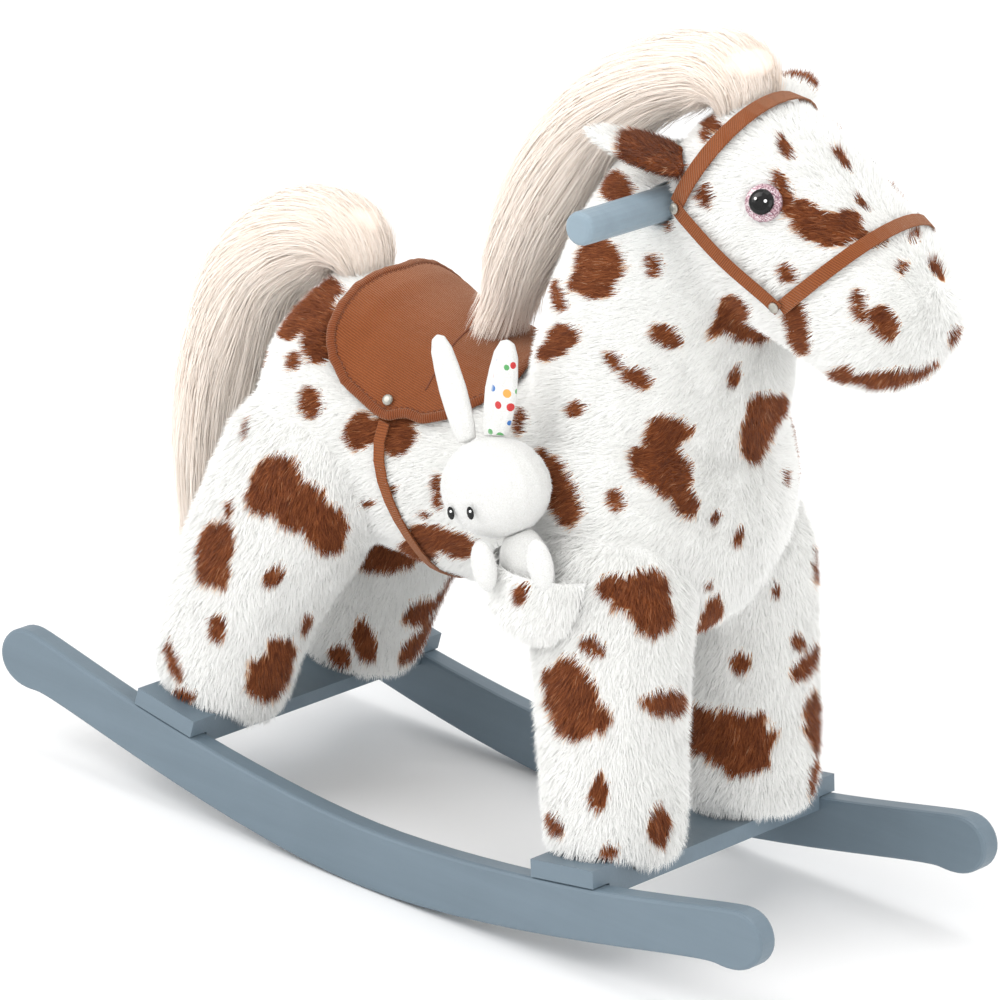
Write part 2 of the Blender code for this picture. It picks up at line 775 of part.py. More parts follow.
SADDLE_EDGES = [
    # (degrees from the top of the back, then the torso's s at the rear edge, seam and front edge)
    (0.0, 0.146, 0.374, 0.577),
    (12.0, 0.141, 0.376, 0.579),
    (22.0, 0.140, 0.383, 0.586),
    (33.0, 0.144, 0.394, 0.593),
    (44.0, 0.155, 0.402, 0.546),
    (51.0, 0.170, 0.406, 0.504),
    (57.0, 0.198, 0.405, 0.474),
    (62.6, 0.253, 0.398, 0.428),
    (65.8, 0.300, 0.389, 0.389),
    (67.4, 0.338, 0.354, 0.354),
]
SADDLE_TURNS, SADDLE_REAR, SADDLE_SEAM, SADDLE_FRONT = (list(row) for row in zip(*SADDLE_EDGES))
POMMEL_REACH = 62.6
SEAM_GAP = 0.0014  # a share of the torso's length
SADDLE_RIVET = (0.345, math.radians(60.0))


def saddle_corner(first, last, reach):
    """A panel's corner(u, v): from edge first to edge last, and from side to side."""
    def corner(u, v):
        degrees = reach * (2 * v - 1)
        low = float(np.interp(abs(degrees), SADDLE_TURNS, first))
        high = float(np.interp(abs(degrees), SADDLE_TURNS, last))
        return low + (high - low) * u, math.radians(degrees)
    return corner


def seat_thickness(u, v):
    swell = math.sqrt(4 * u * (1 - u)) * max(0.0, 1 - ((2 * v - 1) / 0.7) ** 2)
    return SADDLE_THICKNESS + (SEAT_THICKNESS - SADDLE_THICKNESS) * swell


def build_saddle():
    """A padded seat and a pommel panel, sewn together along a seam, with a rivet at each side."""
    seam_rear = [s - SEAM_GAP for s in SADDLE_SEAM]
    seam_front = [s + SEAM_GAP for s in SADDLE_SEAM]
    seat = saddle_corner(SADDLE_REAR, seam_rear, SADDLE_TURNS[-1])
    panel("saddle_seat", TORSO, seat, (6, 24), SADDLE_LIFT, seat_thickness, "saddle_twill")
    pommel = saddle_corner(seam_front, SADDLE_FRONT, POMMEL_REACH)
    front = panel("saddle_pommel", TORSO, pommel, (5, 20), SADDLE_LIFT,
                  lambda u, v: SADDLE_THICKNESS, "saddle_twill")
    cut(front, SPACES["torso"], SPACES["neck"])
    for hand, side in SIDES.items():
        spot = (SADDLE_RIVET[0], -side * SADDLE_RIVET[1])
        raised = SADDLE_LIFT + SADDLE_THICKNESS + 0.0005
        rivet(f"saddle_rivet_{hand}", TORSO.point(*spot, raised), TORSO.normal(*spot))


def rivet(name, base, normal):
    turned(name, dome_profile(RIVET_RADIUS, 0.0022, 0.0006, 3), along(base, base + normal),
           "steel", steps=12)


def build_girth():
    """The girth runs from one edge of the saddle to the other, under the belly."""
    start = math.radians(GIRTH_START)

    def route(t):
        angle = start + 2 * (math.pi - start) * t
        down = min((1.0 - abs(2 * t - 1)) / 0.6, 1.0)
        return 0.352 + 0.080 * (3 * down**2 - 2 * down**3), angle

    strap("girth_strap", TORSO, route, GIRTH_STRAP_WIDTH, 0.0006, "strap_tape", 26)


def half_band(top, end, power):
    """A route over the head from one side to the other, through top at its middle."""
    def route(t):
        angle = end[1] * (2 * t - 1)
        share = abs(2 * t - 1) ** power
        return top[0] + (end[0] - top[0]) * share, angle
    return route


def build_bridle():
    low = 0.0010
    strap("bridle_crown_strap", HEAD, half_band(CROWN_TOP, CROWN_END, 1.3),
          CROWN_STRAP_WIDTH, low, "strap_tape", 22)
    strap("bridle_noseband", HEAD, half_band(NOSE_TOP, NOSE_END, 2.2),
          BRIDLE_STRAP_WIDTH, low, "strap_tape", 22)
    over = low + STRAP_THICKNESS + 0.0008
    for hand, side in SIDES.items():
        def cheek(t, side=side):
            s = CROWN_END[0] + (NOSE_END[0] - CROWN_END[0]) * t
            return s, -side * (CROWN_END[1] + (NOSE_END[1] - CROWN_END[1]) * t)

        strap(f"bridle_cheek_strap_{hand}", HEAD, cheek, BRIDLE_STRAP_WIDTH, over, "strap_tape", 10)
        for part, share in (("crown", 0.03), ("nose", 0.97)):
            spot = cheek(share)
            base = HEAD.point(*spot, over + STRAP_THICKNESS + 0.0006)
            rivet(f"bridle_rivet_{part}_{hand}", base, HEAD.normal(*spot))


# ---------------------------------------------------------------- the small bunny

def ball(name, centre, radii, finish, tilt=(0.0, 0.0, 0.0), sides=14, rings=9):
    bm = bmesh.new()
    bmesh.ops.create_uvsphere(bm, u_segments=sides, v_segments=rings, radius=1.0)
    bmesh.ops.scale(bm, verts=bm.verts, vec=radii)
    bmesh.ops.rotate(bm, verts=bm.verts, matrix=_euler(tilt))
    obj = mesh_object(name, bm, finish, smooth_degrees=70)
    obj.location = centre
    return obj


def _euler(tilt):
    x, y, z = (math.radians(a) for a in tilt)
    return Matrix.Rotation(z, 3, "Z") @ Matrix.Rotation(y, 3, "Y") @ Matrix.Rotation(x, 3, "X")


POCKET_X = 0.106
POCKET = Form(
    [
        (POCKET_X, -0.098, 0.200, 0.0390, 0.0390),
        (POCKET_X, -0.098, 0.230, 0.0400, 0.0410),
        (POCKET_X, -0.098, 0.290, 0.0400, 0.0410),
    ],
    0.030,
    0.010,
)
POCKET_RIM = 0.256
POCKET_WALL = 0.003

BUNNY_AXIS = (0.1000, -0.1200, 0.2560)  # the line that the bunny is lifted out along
BUNNY_LEAN = (0.0, -20.0, 0.0)  # it sits tipped back, degrees about each axis
BUNNY_HEAD = ((0.0700, -0.1185, 0.3000), (0.0412, 0.0280, 0.0332))
BUNNY_BODY = ((0.1030, -0.1200, 0.2520), (0.0215, 0.0115, 0.0310))
BUNNY_ARM_RADII = (0.0100, 0.0062, 0.0175)
BUNNY_ARMS = {"right": (0.0850, -0.1428, 0.2560), "left": (0.1290, -0.1420, 0.2700)}
BUNNY_EARS = {
    "right": ((0.0420, -0.1150, 0.3200), (0.0055, -0.1120, 0.3850)),
    "left": ((0.0610, -0.1130, 0.3240), (0.0630, -0.1120, 0.3980)),
}
BUNNY_EAR_THICKNESS = 0.0110
BUNNY_EAR_WIDTHS = {"right": (0.0175, 0.0235, 0.0145), "left": (0.0185, 0.0270, 0.0160)}
BUNNY_EYE_RADII = (0.0028, 0.0012, 0.0044)
BUNNY_EYE_STAND = 0.0026  # how far an eye's middle stands off the head
BUNNY_GAZE = {"right": (-0.34, -0.78, -0.46), "left": (0.08, -0.94, -0.28)}


def build_pocket():
    pocket = POCKET.solid("bunny_pocket", "plush", 12, 20)
    inside = POCKET.solid("pocket_inside", None, 12, 20, lift=-POCKET_WALL)
    above = box("pocket_above", (POCKET_X, -0.10, POCKET_RIM + 0.05), (0.2, 0.2, 0.1))
    cut(pocket, inside, above, SPACES["torso"], SPACES["leg"])


def build_bunny():
    """A soft bunny that sits in the pocket with its arms over the rim."""
    body = ball("bunny_body", *BUNNY_BODY, "bunny_fleece", BUNNY_LEAN)
    cut(body, SPACES["bunny_head"], SPACES["leg"], SPACES["torso"])
    centre, radii = BUNNY_HEAD
    pieces = [body, ball("bunny_head", centre, radii, "bunny_fleece", BUNNY_LEAN, 18, 11)]
    for hand in SIDES:
        arm = ball(f"bunny_arm_{hand}", BUNNY_ARMS[hand], BUNNY_ARM_RADII, "bunny_fleece",
                   BUNNY_LEAN, 12, 8)
        cut(arm, SPACES["bunny_head"])
        base, tip = (Vector(place) for place in BUNNY_EARS[hand])
        middle = base.lerp(tip, 0.5)
        half = BUNNY_EAR_THICKNESS / 2
        low, broad, high = (width / 2 for width in BUNNY_EAR_WIDTHS[hand])
        form = Form([(*base, half, low), (*middle, half, broad), (*tip, half, high)], 0.006, 0.010)
        ear = form.solid(f"bunny_ear_{hand}", "bunny_fleece", 8, 10)
        cut(ear, SPACES["bunny_head"])
        gaze = Vector(BUNNY_GAZE[hand]).normalized()
        reach = Vector([g * (r + BUNNY_EYE_STAND) for g, r in zip(gaze, radii)])
        eye = ball(f"bunny_eye_{hand}", Vector(centre) + reach, BUNNY_EYE_RADII, "eye_black",
                   BUNNY_LEAN, 10, 6)
        pieces += [arm, ear, eye]
    hang_on_axis("bunny_slide_axis", BUNNY_AXIS, pieces)


# ---------------------------------------------------------------- spaces that pieces are cut by

def build_spaces():
    """Cutters: each soft form grown by the gap, and each wooden piece's seat in the stuffing."""
    SPACES["torso"] = TORSO.solid("space_torso", None, 16, 20, lift=SOFT_GAP)
    SPACES["neck"] = NECK.solid("space_neck", None, 12, 20, lift=SOFT_GAP)
    SPACES["head"] = HEAD.solid("space_head", None, 14, 20, lift=SOFT_GAP)
    leg = LEG_FORMS["front", "right"]
    SPACES["leg"] = leg.solid("space_leg", None, 10, 16, lift=SOFT_GAP)
    centre, radii = BUNNY_HEAD
    SPACES["bunny_head"] = ball("space_bunny_head", centre, [r + GAP for r in radii], None,
                                BUNNY_LEAN, sides=18, rings=11)


def build_seats():
    """Cutters for the seats that the wooden pieces and the eyes sit in."""
    for end, x in (("front", FRONT_CROSS_X), ("rear", REAR_CROSS_X)):
        SPACES[f"platform_{end}"] = cross_prism(f"space_platform_{end}", x, 0.16, 0.0004, -0.08)
        trim = box(f"space_trim_{end}", (0, 0, 0), (0.12, 0.26, 0.08))
        trim.matrix_world = cross_frame(x) @ Matrix.Translation((0, 0, PLATFORM_TOP + GAP - 0.04))
        SPACES[f"trim_{end}"] = trim
    for end, x, hand, side in legs():
        foot, head = post_ends(x, side)
        lean = (head - foot).normalized() * 0.03
        name = f"post_{end}_{hand}"
        SPACES[name] = rod(f"space_{name}", foot - lean, head, POST_RADIUS + GAP)
    centre = ((SPINE_BACK_X + SPINE_FRONT_X) / 2, 0.0, SPINE_BOTTOM + SPINE_THICKNESS / 2)
    size = (SPINE_FRONT_X - SPINE_BACK_X, 2 * SPINE_HALF_WIDTH, SPINE_THICKNESS)
    SPACES["spine"] = box("space_spine", centre, [side + 2 * GAP for side in size])
    foot, head = neck_post_ends()
    SPACES["neck_post"] = rod("space_neck_post", foot, head, NECK_POST_RADIUS + GAP)
    SPACES["head_block"] = box("space_head_block", HEAD_BLOCK_CENTRE,
                               [side + 2 * GAP for side in HEAD_BLOCK_SIZE])
    x, z = HANDLE_AXIS
    reach = HANDLE_HALF_LENGTH + 0.02
    SPACES["handle"] = rod("space_handle", (x, -reach, z), (x, reach, z), HANDLE_RADIUS + GAP)
    for hand in SIDES:
        low = eye_frame(hand, -0.0030 - GAP)
        hole = rod(f"space_eye_{hand}", (0, 0, 0), (0, 0, 0.03), EYE_RING_RADIUS + GAP, sides=24)
        hole.matrix_world = low
        SPACES[f"eye_{hand}"] = hole


def main():
    build_spaces()
    build_seats()
    rockers = build_rockers()
    members = build_cross_members()
    posts = build_frame()
    build_screws(rockers, members, posts)
    build_handle()
    build_plush()
    build_eyes()
    build_saddle()
    build_girth()
    build_bridle()
    build_pocket()
    build_bunny()


clear_scene()
PARTS = collection("rocking_horse")
CUTTERS = collection("cutters")
SPACES = {}
main()
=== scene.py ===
"""The looks of a plush rocking horse: spotted fur on a painted wooden rocker base."""

import math

import bmesh
import bpy
import numpy as np
from mathutils import Matrix, Vector
from mathutils.bvhtree import BVHTree


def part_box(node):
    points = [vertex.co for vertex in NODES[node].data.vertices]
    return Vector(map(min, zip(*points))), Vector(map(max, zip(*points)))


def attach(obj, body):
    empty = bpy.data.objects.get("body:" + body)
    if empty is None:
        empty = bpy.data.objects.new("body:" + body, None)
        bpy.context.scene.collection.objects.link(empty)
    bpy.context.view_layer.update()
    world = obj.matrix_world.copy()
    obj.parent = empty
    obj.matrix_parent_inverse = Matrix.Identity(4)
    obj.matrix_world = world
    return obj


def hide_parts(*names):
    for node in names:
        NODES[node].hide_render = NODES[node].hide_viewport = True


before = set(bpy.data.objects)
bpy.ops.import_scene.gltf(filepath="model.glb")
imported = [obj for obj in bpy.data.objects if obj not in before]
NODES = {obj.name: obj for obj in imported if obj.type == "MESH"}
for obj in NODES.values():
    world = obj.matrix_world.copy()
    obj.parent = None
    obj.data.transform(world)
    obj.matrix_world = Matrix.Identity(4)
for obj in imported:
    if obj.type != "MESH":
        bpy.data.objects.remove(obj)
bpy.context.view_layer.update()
SEED = 4
HANDS = ("right", "left")
Z_AXIS = np.array((0.0, 0.0, 1.0))

# The photograph's viewing angle, in degrees and metres.
CAMERA_AZIMUTH = 36.65
CAMERA_ELEVATION = 19.98
CAMERA_ROLL = 5.80
CAMERA_DISTANCE = 5.078
CAMERA_TARGET = (-0.0103, 0.0, 0.2404)
CAMERA_LENS_MM = 275.6
CAMERA_SHIFT = (-0.0045, -0.0009)

# Fur, in metres and strands to the square metre.
FUR_LENGTH = 0.0072
FUR_WIDTH = 0.00068
FUR_DENSITY = 1_000_000
FUR_SINK = 0.0030  # the skin lies this far under the CAD surface, and the tips reach back up to it
SKIN_VOXEL = 0.0032
PATCH_DEPTH = 0.024  # a patch colours no fur further than this from its own side
CAD_WELD = 2e-5
TUFT_CELL = 0.0060
WAVE_CELL = 0.019
BACKWARD_AND_DOWN = (-1.0, 0.0, -0.55)
DOWNWARD = (-0.12, 0.0, -1.0)

# The saddle, in metres: the line it bends round, its edges and its stitches.
SADDLE_AXIS = (0.0, 0.0, 0.285)
PANEL_GAP = 0.006
BINDING_WIDTH = 0.0068
BINDING_THICKNESS = 0.0036
STITCH_LENGTH = 0.0028
STITCH_GAP = 0.0014
STITCH_INSET = 0.0052
SEAM_INSET = 0.0042

# The painted reflections on each eye, small white spots: along it, up it, and their radius, in metres.
EYE_PAINTED_REFLECTIONS = ((-0.0037, 0.0008, 0.0011), (0.0032, 0.0014, 0.0010))

# Where each patch of brown fur is: x, y, z, half its length, half its width, in millimetres, and
# its tilt in degrees from level. These are the right side's, and left_side() makes the other's.
HEAD_PATCHES = (
    (221, -47, 525, 16, 6, -60), (251, -41, 512, 24, 11, -5), (236, -44, 519, 10, 8, -40),
    (262, -30, 516, 10, 10, 20), (278, -27, 508, 10, 6, -5), (236, -56, 481, 8, 7, -35),
    (206, -29, 550, 10, 4, -60), (234, -4, 544, 12, 4, 85), (170, -61, 515, 8, 6, -50),
    (190, -44, 439, 19, 12, 50), (245, -54, 450, 15, 11, 70), (244, -47, 432, 16, 9, 50),
    (303, -42, 465, 12, 8, -55), (288, -49, 474, 11, 5, -70), (260, -16, 525, 6, 3, -65),
    (291, 1, 509, 9, 3, 15), (301, -23, 496, 6, 3, 50), (312, -1, 492, 8, 4, -75),
    (300, -27, 418, 31, 9, 10), (316, -10, 428, 14, 7, 20), (275, -39, 418, 15, 8, 60),
    (324, 9, 452, 7, 6, 5), (303, -30, 425, 18, 6, 15), (145, -30, 552, 18, 6, 10),
    (152, -42, 546, 8, 4, -20),
)
NECK_PATCHES = (
    (141, -56, 488, 6, 4, -25), (192, -22, 422, 23, 8, -15), (85, -44, 496, 27, 10, 5),
    (92, -65, 451, 24, 16, 10), (93, -69, 435, 24, 9, 10), (106, -67, 449, 12, 11, 5),
    (138, -64, 459, 8, 5, -75), (154, -63, 416, 11, 7, -25), (142, -73, 386, 10, 7, -15),
    (124, -77, 394, 8, 5, -25), (103, -84, 356, 9, 6, 25), (187, -30, 392, 9, 5, 90),
    (77, -72, 396, 19, 9, 20), (67, -71, 383, 21, 7, 25), (59, -59, 417, 19, 7, -10),
    (163, -63, 353, 17, 12, 15), (192, -4, 354, 24, 19, 80), (193, 7, 365, 26, 10, -20),
)
BODY_PATCHES = (
    (170, -63, 329, 18, 14, -65), (158, -75, 332, 14, 10, -45), (180, -59, 311, 11, 8, -55),
    (191, -40, 299, 5, 4, 80), (198, -22, 285, 7, 5, 85), (194, 28, 313, 6, 5, 75),
    (106, -94, 302, 27, 14, -45), (88, -89, 316, 16, 7, -15), (51, -73, 330, 12, 5, -45),
    (147, -89, 308, 8, 5, -70), (-146, -56, 346, 34, 17, 0), (-120, -75, 336, 18, 11, -50),
    (-151, -34, 358, 27, 10, 15), (-131, -83, 322, 8, 7, -40), (-156, -66, 334, 18, 7, 10),
    (-109, -89, 299, 11, 8, -80), (-174, -59, 305, 11, 6, 10), (-68, -86, 291, 14, 12, 55),
    (-43, -81, 299, 18, 16, -40), (-37, -84, 289, 11, 7, 15), (1, -87, 269, 13, 5, -80),
    (-40, -85, 256, 9, 3, 40), (-10, -84, 248, 6, 3, 35), (-2, -78, 233, 24, 12, 15),
    (18, -77, 233, 19, 11, 40), (-57, -82, 242, 8, 3, 30), (177, -12, 217, 28, 10, -60),
    (189, -34, 250, 4, 3, -35), (-29, -62, 211, 33, 14, 50),
)
FRONT_LEG_PATCHES = (
    (176, 29, 124, 27, 21, 15), (151, 24, 123, 22, 17, 35), (183, 33, 109, 17, 11, 10),
    (200, 90, 127, 26, 16, -70), (194, 63, 191, 9, 6, -45), (173, 30, 177, 8, 7, -80),
    (185, 45, 228, 6, 3, -80), (174, -93, 255, 19, 14, 30), (183, -87, 242, 16, 14, -15),
    (162, -101, 257, 14, 9, -5), (144, -120, 183, 26, 20, 75), (155, -119, 169, 21, 14, 20),
    (133, -118, 189, 17, 10, 25), (176, -116, 125, 13, 6, -85), (203, -83, 100, 15, 10, -75),
    (141, -119, 91, 12, 8, -5), (185, -112, 85, 6, 5, 10), (156, -114, 218, 9, 6, -20),
    (195, -76, 182, 21, 9, -15),
)
REAR_LEG_PATCHES = (
    (-126, 27, 158, 25, 13, 15), (-143, 36, 89, 18, 8, -75), (-120, 67, 111, 15, 12, -20),
    (-158, 29, 75, 10, 9, 85), (-115, 91, 130, 16, 9, -45), (-157, -96, 272, 9, 3, -55),
    (-117, -112, 247, 20, 19, 85), (-97, -107, 234, 20, 18, -20), (-83, -96, 215, 17, 12, -50),
    (-124, -115, 235, 14, 11, 20), (-80, -96, 226, 15, 11, -80), (-154, -122, 188, 24, 17, 80),
    (-125, -84, 99, 25, 17, -45), (-118, -83, 119, 19, 10, -50), (-111, -110, 182, 10, 6, 55),
    (-146, -121, 136, 11, 6, 85), (-184, -120, 102, 15, 7, -50), (-172, -119, 80, 10, 5, 10),
    (-148, -117, 221, 6, 4, -85), (-106, -73, 139, 13, 5, -60),
)
EAR_PATCHES = ((126, -62, 535, 27, 21, 40), (137, -50, 533, 31, 12, 40), (138, 84, 566, 16, 3, 10))
POCKET_PATCHES = ((114, -137, 246, 8, 5, 70),)

# The hair's centre lines: x, z, half the lock's width and half its height, in millimetres.
MANE_LINE = (
    (147, 540, 22, 9), (149, 564, 30, 14), (134, 576, 36, 20), (112, 572, 39, 23),
    (77, 555, 40, 25), (37, 519, 40, 27), (6, 465, 38, 28), (-13, 415, 33, 22), (-21, 383, 24, 14),
)
TAIL_LINE = (
    (-143, 356, 18, 14), (-150, 374, 26, 19), (-170, 383, 33, 25), (-202, 372, 39, 31),
    (-233, 340, 42, 31), (-250, 283, 42, 30), (-254, 215, 40, 27), (-251, 150, 30, 19),
)


# ---- small tools


def unit(vectors):
    return vectors / np.maximum(np.linalg.norm(vectors, axis=-1, keepdims=True), 1e-9)


def add_object(name, data):
    obj = bpy.data.objects.new(name, data)
    bpy.context.scene.collection.objects.link(obj)
    return obj


def place(obj, body, material=None):
    """Gives a finished piece its body and its material."""
    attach(obj, body)
    if material is not None:
        obj.data.materials.clear()
        obj.data.materials.append(material)
    return obj


def mesh_from(bm, name):
    """A smooth mesh from a finished bmesh, which is freed."""
    mesh = bpy.data.meshes.new(name)
    bm.to_mesh(mesh)
    bm.free()
    mesh.shade_smooth()
    return mesh


def read_vectors(items, key):
    values = np.empty(len(items) * 3)
    items.foreach_get(key, values)
    return values.reshape(-1, 3)


def points_of(mesh):
    return read_vectors(mesh.vertices, "co")


def normals_of(mesh):
    return read_vectors(mesh.vertex_normals, "vector")


def triangles_of(mesh):
    mesh.calc_loop_triangles()
    corners = np.empty(len(mesh.loop_triangles) * 3, np.int64)
    mesh.loop_triangles.foreach_get("vertices", corners)
    return corners.reshape(-1, 3)


def tree_of(names):
    """One search tree over several CAD nodes, and the index of the node that each face is from."""
    points, faces, owners, start = [], [], [], 0
    for index, name in enumerate(names):
        mesh = NODES[name].data
        triangles = triangles_of(mesh)
        points.append(points_of(mesh))
        faces.append(triangles + start)
        owners.append(np.full(len(triangles), index))
        start += len(mesh.vertices)
    tree = BVHTree.FromPolygons(np.concatenate(points).tolist(), np.concatenate(faces).tolist())
    return tree, np.concatenate(owners)


def lattice_noise(points, cell, seed):
    """Smooth noise from -1 to 1 whose features are about cell metres wide."""
    scaled = points / cell + 500.0
    base = np.floor(scaled).astype(np.int64)
    part = scaled - base
    part = part * part * (3 - 2 * part)
    total = np.zeros(len(points))
    for corner in np.ndindex(2, 2, 2):
        key = base + np.array(corner)
        mixed = key[:, 0] * 73856093 ^ key[:, 1] * 19349663 ^ key[:, 2] * 83492791 ^ seed * 7919
        mixed = ((mixed ^ (mixed >> 13)) * 1274126177) & 0x7FFFFFFF
        weight = np.prod(np.where(corner, part, 1 - part), axis=1)
        total += weight * (mixed / 0x3FFFFFFF - 1)
    return total


def noise_vectors(points, cell, seed):
    return np.stack([lattice_noise(points, cell, seed + k) for k in range(3)], axis=1)


def smooth_path(stations, count):
    """count rows along a smooth curve through the stations."""
    rows = np.vstack([2 * stations[0] - stations[1], stations, 2 * stations[-1] - stations[-2]])
    at = np.linspace(0, len(rows) - 3, count)
    first = np.minimum(at.astype(int), len(rows) - 4)
    f = (at - first)[:, None]
    a, b, c, d = (rows[first + k] for k in range(4))
    bend = 2 * a - 5 * b + 4 * c - d
    twist = 3 * b - a - 3 * c + d
    return 0.5 * (2 * b + (c - a) * f + bend * f**2 + twist * f**3)


def distances_along(row):
    """How far along a row of points each of them is."""
    return np.concatenate([[0.0], np.cumsum(np.linalg.norm(np.diff(row, axis=0), axis=1))])


def points_at(at, run, row):
    """The points of row, or between them, at distances along it."""
    return np.stack([np.interp(at, run, row[:, k]) for k in range(3)], axis=-1)


def set_floats(mesh, name, values):
    attribute = mesh.attributes.new(name, "FLOAT", "POINT")
    attribute.data.foreach_set("value", np.asarray(values, np.float32))


def set_vectors(mesh, name, values):
    attribute = mesh.attributes.new(name, "FLOAT_VECTOR", "POINT")
    attribute.data.foreach_set("vector", np.asarray(values, np.float32).ravel())


# ---- materials


class Shader:
    """Builds a node material: add() makes a node, with its sockets set or linked by name."""

    def __init__(self, name, roughness, specular=0.5, metallic=0.0, **sockets):
        self.material = bpy.data.materials.new(name)
        self.material.use_nodes = True
        self.tree = self.material.node_tree
        self.surface = self.tree.nodes["Principled BSDF"]
        base = {"Roughness": roughness, "Specular IOR Level": specular, "Metallic": metallic}
        self.set(self.surface, {**base, **sockets})

    def set(self, node, sockets):
        for key, value in sockets.items():
            socket = node.inputs[key]
            if isinstance(value, bpy.types.NodeSocket):
                self.tree.links.new(value, socket)
            else:
                socket.default_value = value

    def add(self, kind, sockets=None, **settings):
        node = self.tree.nodes.new("ShaderNode" + kind)
        for key, value in settings.items():
            setattr(node, key, value)
        self.set(node, sockets or {})
        return node

    def attribute(self, name, output="Fac"):
        return self.add("Attribute", attribute_name=name).outputs[output]

    def place(self):
        return self.add("TexCoord").outputs["Object"]

    def math(self, operation, a, b=0.0):
        return self.add("Math", {0: a, 1: b}, operation=operation).outputs[0]

    def noise(self, scale, detail=3.0, vector=None):
        sockets = {"Scale": scale, "Detail": detail, "Roughness": 0.6}
        sockets["Vector"] = vector or self.place()
        return self.add("TexNoise", sockets).outputs["Fac"]

    def ramp(self, value, stops):
        node = self.add("ValToRGB", {"Fac": value})
        elements = node.color_ramp.elements
        while len(elements) < len(stops):
            elements.new(0.5)
        for element, (position, colour) in zip(elements, stops):
            element.position = position
            element.color = (*colour, 1.0)
        return node.outputs["Color"]

    def blend(self, kind, share, a, b):
        node = self.add("Mix", {0: share, 6: a, 7: b}, data_type="RGBA", blend_type=kind)
        return node.outputs[2]

    def colour(self, value):
        self.set(self.surface, {"Base Color": value})

    def bump(self, height, distance):
        node = self.add("Bump", {"Height": height, "Distance": distance, "Strength": 1.0})
        self.set(self.surface, {"Normal": node.outputs["Normal"]})


def grey(value):
    return (value, value, value)


COAT_STOPS = (
    (0.00, (0.930, 0.930, 0.910)),
    (0.36, (0.985, 0.985, 0.965)),
    (0.47, (0.84, 0.57, 0.36)),
    (0.58, (0.35, 0.108, 0.034)),
    (0.78, (0.195, 0.050, 0.014)),
    (1.00, (0.105, 0.026, 0.009)),
)
HAIR_STOPS = (
    (0.0, (0.96, 0.82, 0.72)),
    (0.4, (0.98, 0.88, 0.79)),
    (1.0, (0.99, 0.92, 0.85)),
)


def strand_material(name, stops, root_shade, sheen=0.15):
    """Fur or hair: its tone runs along the ramp, and each strand is darker at its root, a painted shade
    for the shadow deep in the pile.
    """
    shader = Shader(name, 0.75, 0.2, **{"Sheen Weight": sheen})
    tone = shader.ramp(shader.attribute("tone"), stops)
    # Painted shade: each strand's colour darkens towards root_shade at its root.
    along = shader.ramp(shader.attribute("along"), ((0.0, grey(root_shade)), (0.6, grey(1.0))))
    shader.colour(shader.blend("MULTIPLY", 1.0, tone, along))
    return shader.material


def skin_material():
    shader = Shader("plush_backing", 0.9, 0.15)
    tone = shader.ramp(shader.attribute("tone"), COAT_STOPS)
    mottle = shader.ramp(shader.noise(900.0, 2.0), ((0.3, grey(0.80)), (0.7, grey(0.97))))
    shader.colour(shader.blend("MULTIPLY", 1.0, tone, mottle))
    shader.bump(shader.noise(700.0, 2.0), 0.0012)
    return shader.material


def hair_core_material():
    """The inside of a lock: streaks that run along it."""
    shader = Shader("hair_core", 0.8, 0.2)
    streaks = shader.noise(1.0, 4.0, shader.attribute("lock", "Vector"))
    shader.colour(shader.ramp(streaks, ((0.3, (0.95, 0.82, 0.72)), (0.7, (0.98, 0.88, 0.80)))))
    shader.bump(streaks, 0.0015)
    return shader.material


def paint_material(name, dark, light):
    """Satin blue-grey paint over wood: faint grain under it, a little brush texture."""
    shader = Shader(name, 0.42, 0.45)
    stretch = shader.add("Mapping", {"Vector": shader.place(), "Scale": (4.0, 60.0, 60.0)})
    grain = shader.noise(1.0, 5.0, stretch.outputs["Vector"])
    cloud = shader.noise(9.0, 3.0)
    base = shader.ramp(cloud, ((0.3, dark), (0.7, light)))
    veins = shader.ramp(grain, ((0.25, grey(0.90)), (0.6, grey(1.0))))
    shader.colour(shader.blend("MULTIPLY", 1.0, base, veins))
    sheen = shader.ramp(shader.noise(30.0, 4.0), ((0.3, grey(0.36)), (0.8, grey(0.52))))
    shader.set(shader.surface, {"Roughness": sheen})
    shader.bump(shader.math("ADD", grain, shader.noise(420.0, 2.0)), 0.00012)
    return shader.material


def bare_wood_material():
    shader = Shader("bare_pine", 0.6)
    stretch = shader.add("Mapping", {"Vector": shader.place(), "Scale": (70.0, 70.0, 6.0)})
    grain = shader.noise(1.0, 6.0, stretch.outputs["Vector"])
    shader.colour(shader.ramp(grain, ((0.3, (0.48, 0.30, 0.15)), (0.7, (0.72, 0.52, 0.31)))))
    shader.bump(grain, 0.0002)
    return shader.material


def steel_material():
    shader = Shader("bright_steel", 0.28, metallic=1.0)
    worn = shader.noise(300.0, 4.0)
    shader.colour(shader.ramp(worn, ((0.3, (0.34, 0.33, 0.29)), (0.7, (0.52, 0.50, 0.45)))))
    dulled = shader.ramp(worn, ((0.2, grey(0.36)), (0.8, grey(0.55))))
    shader.set(shader.surface, {"Roughness": dulled})
    return shader.material


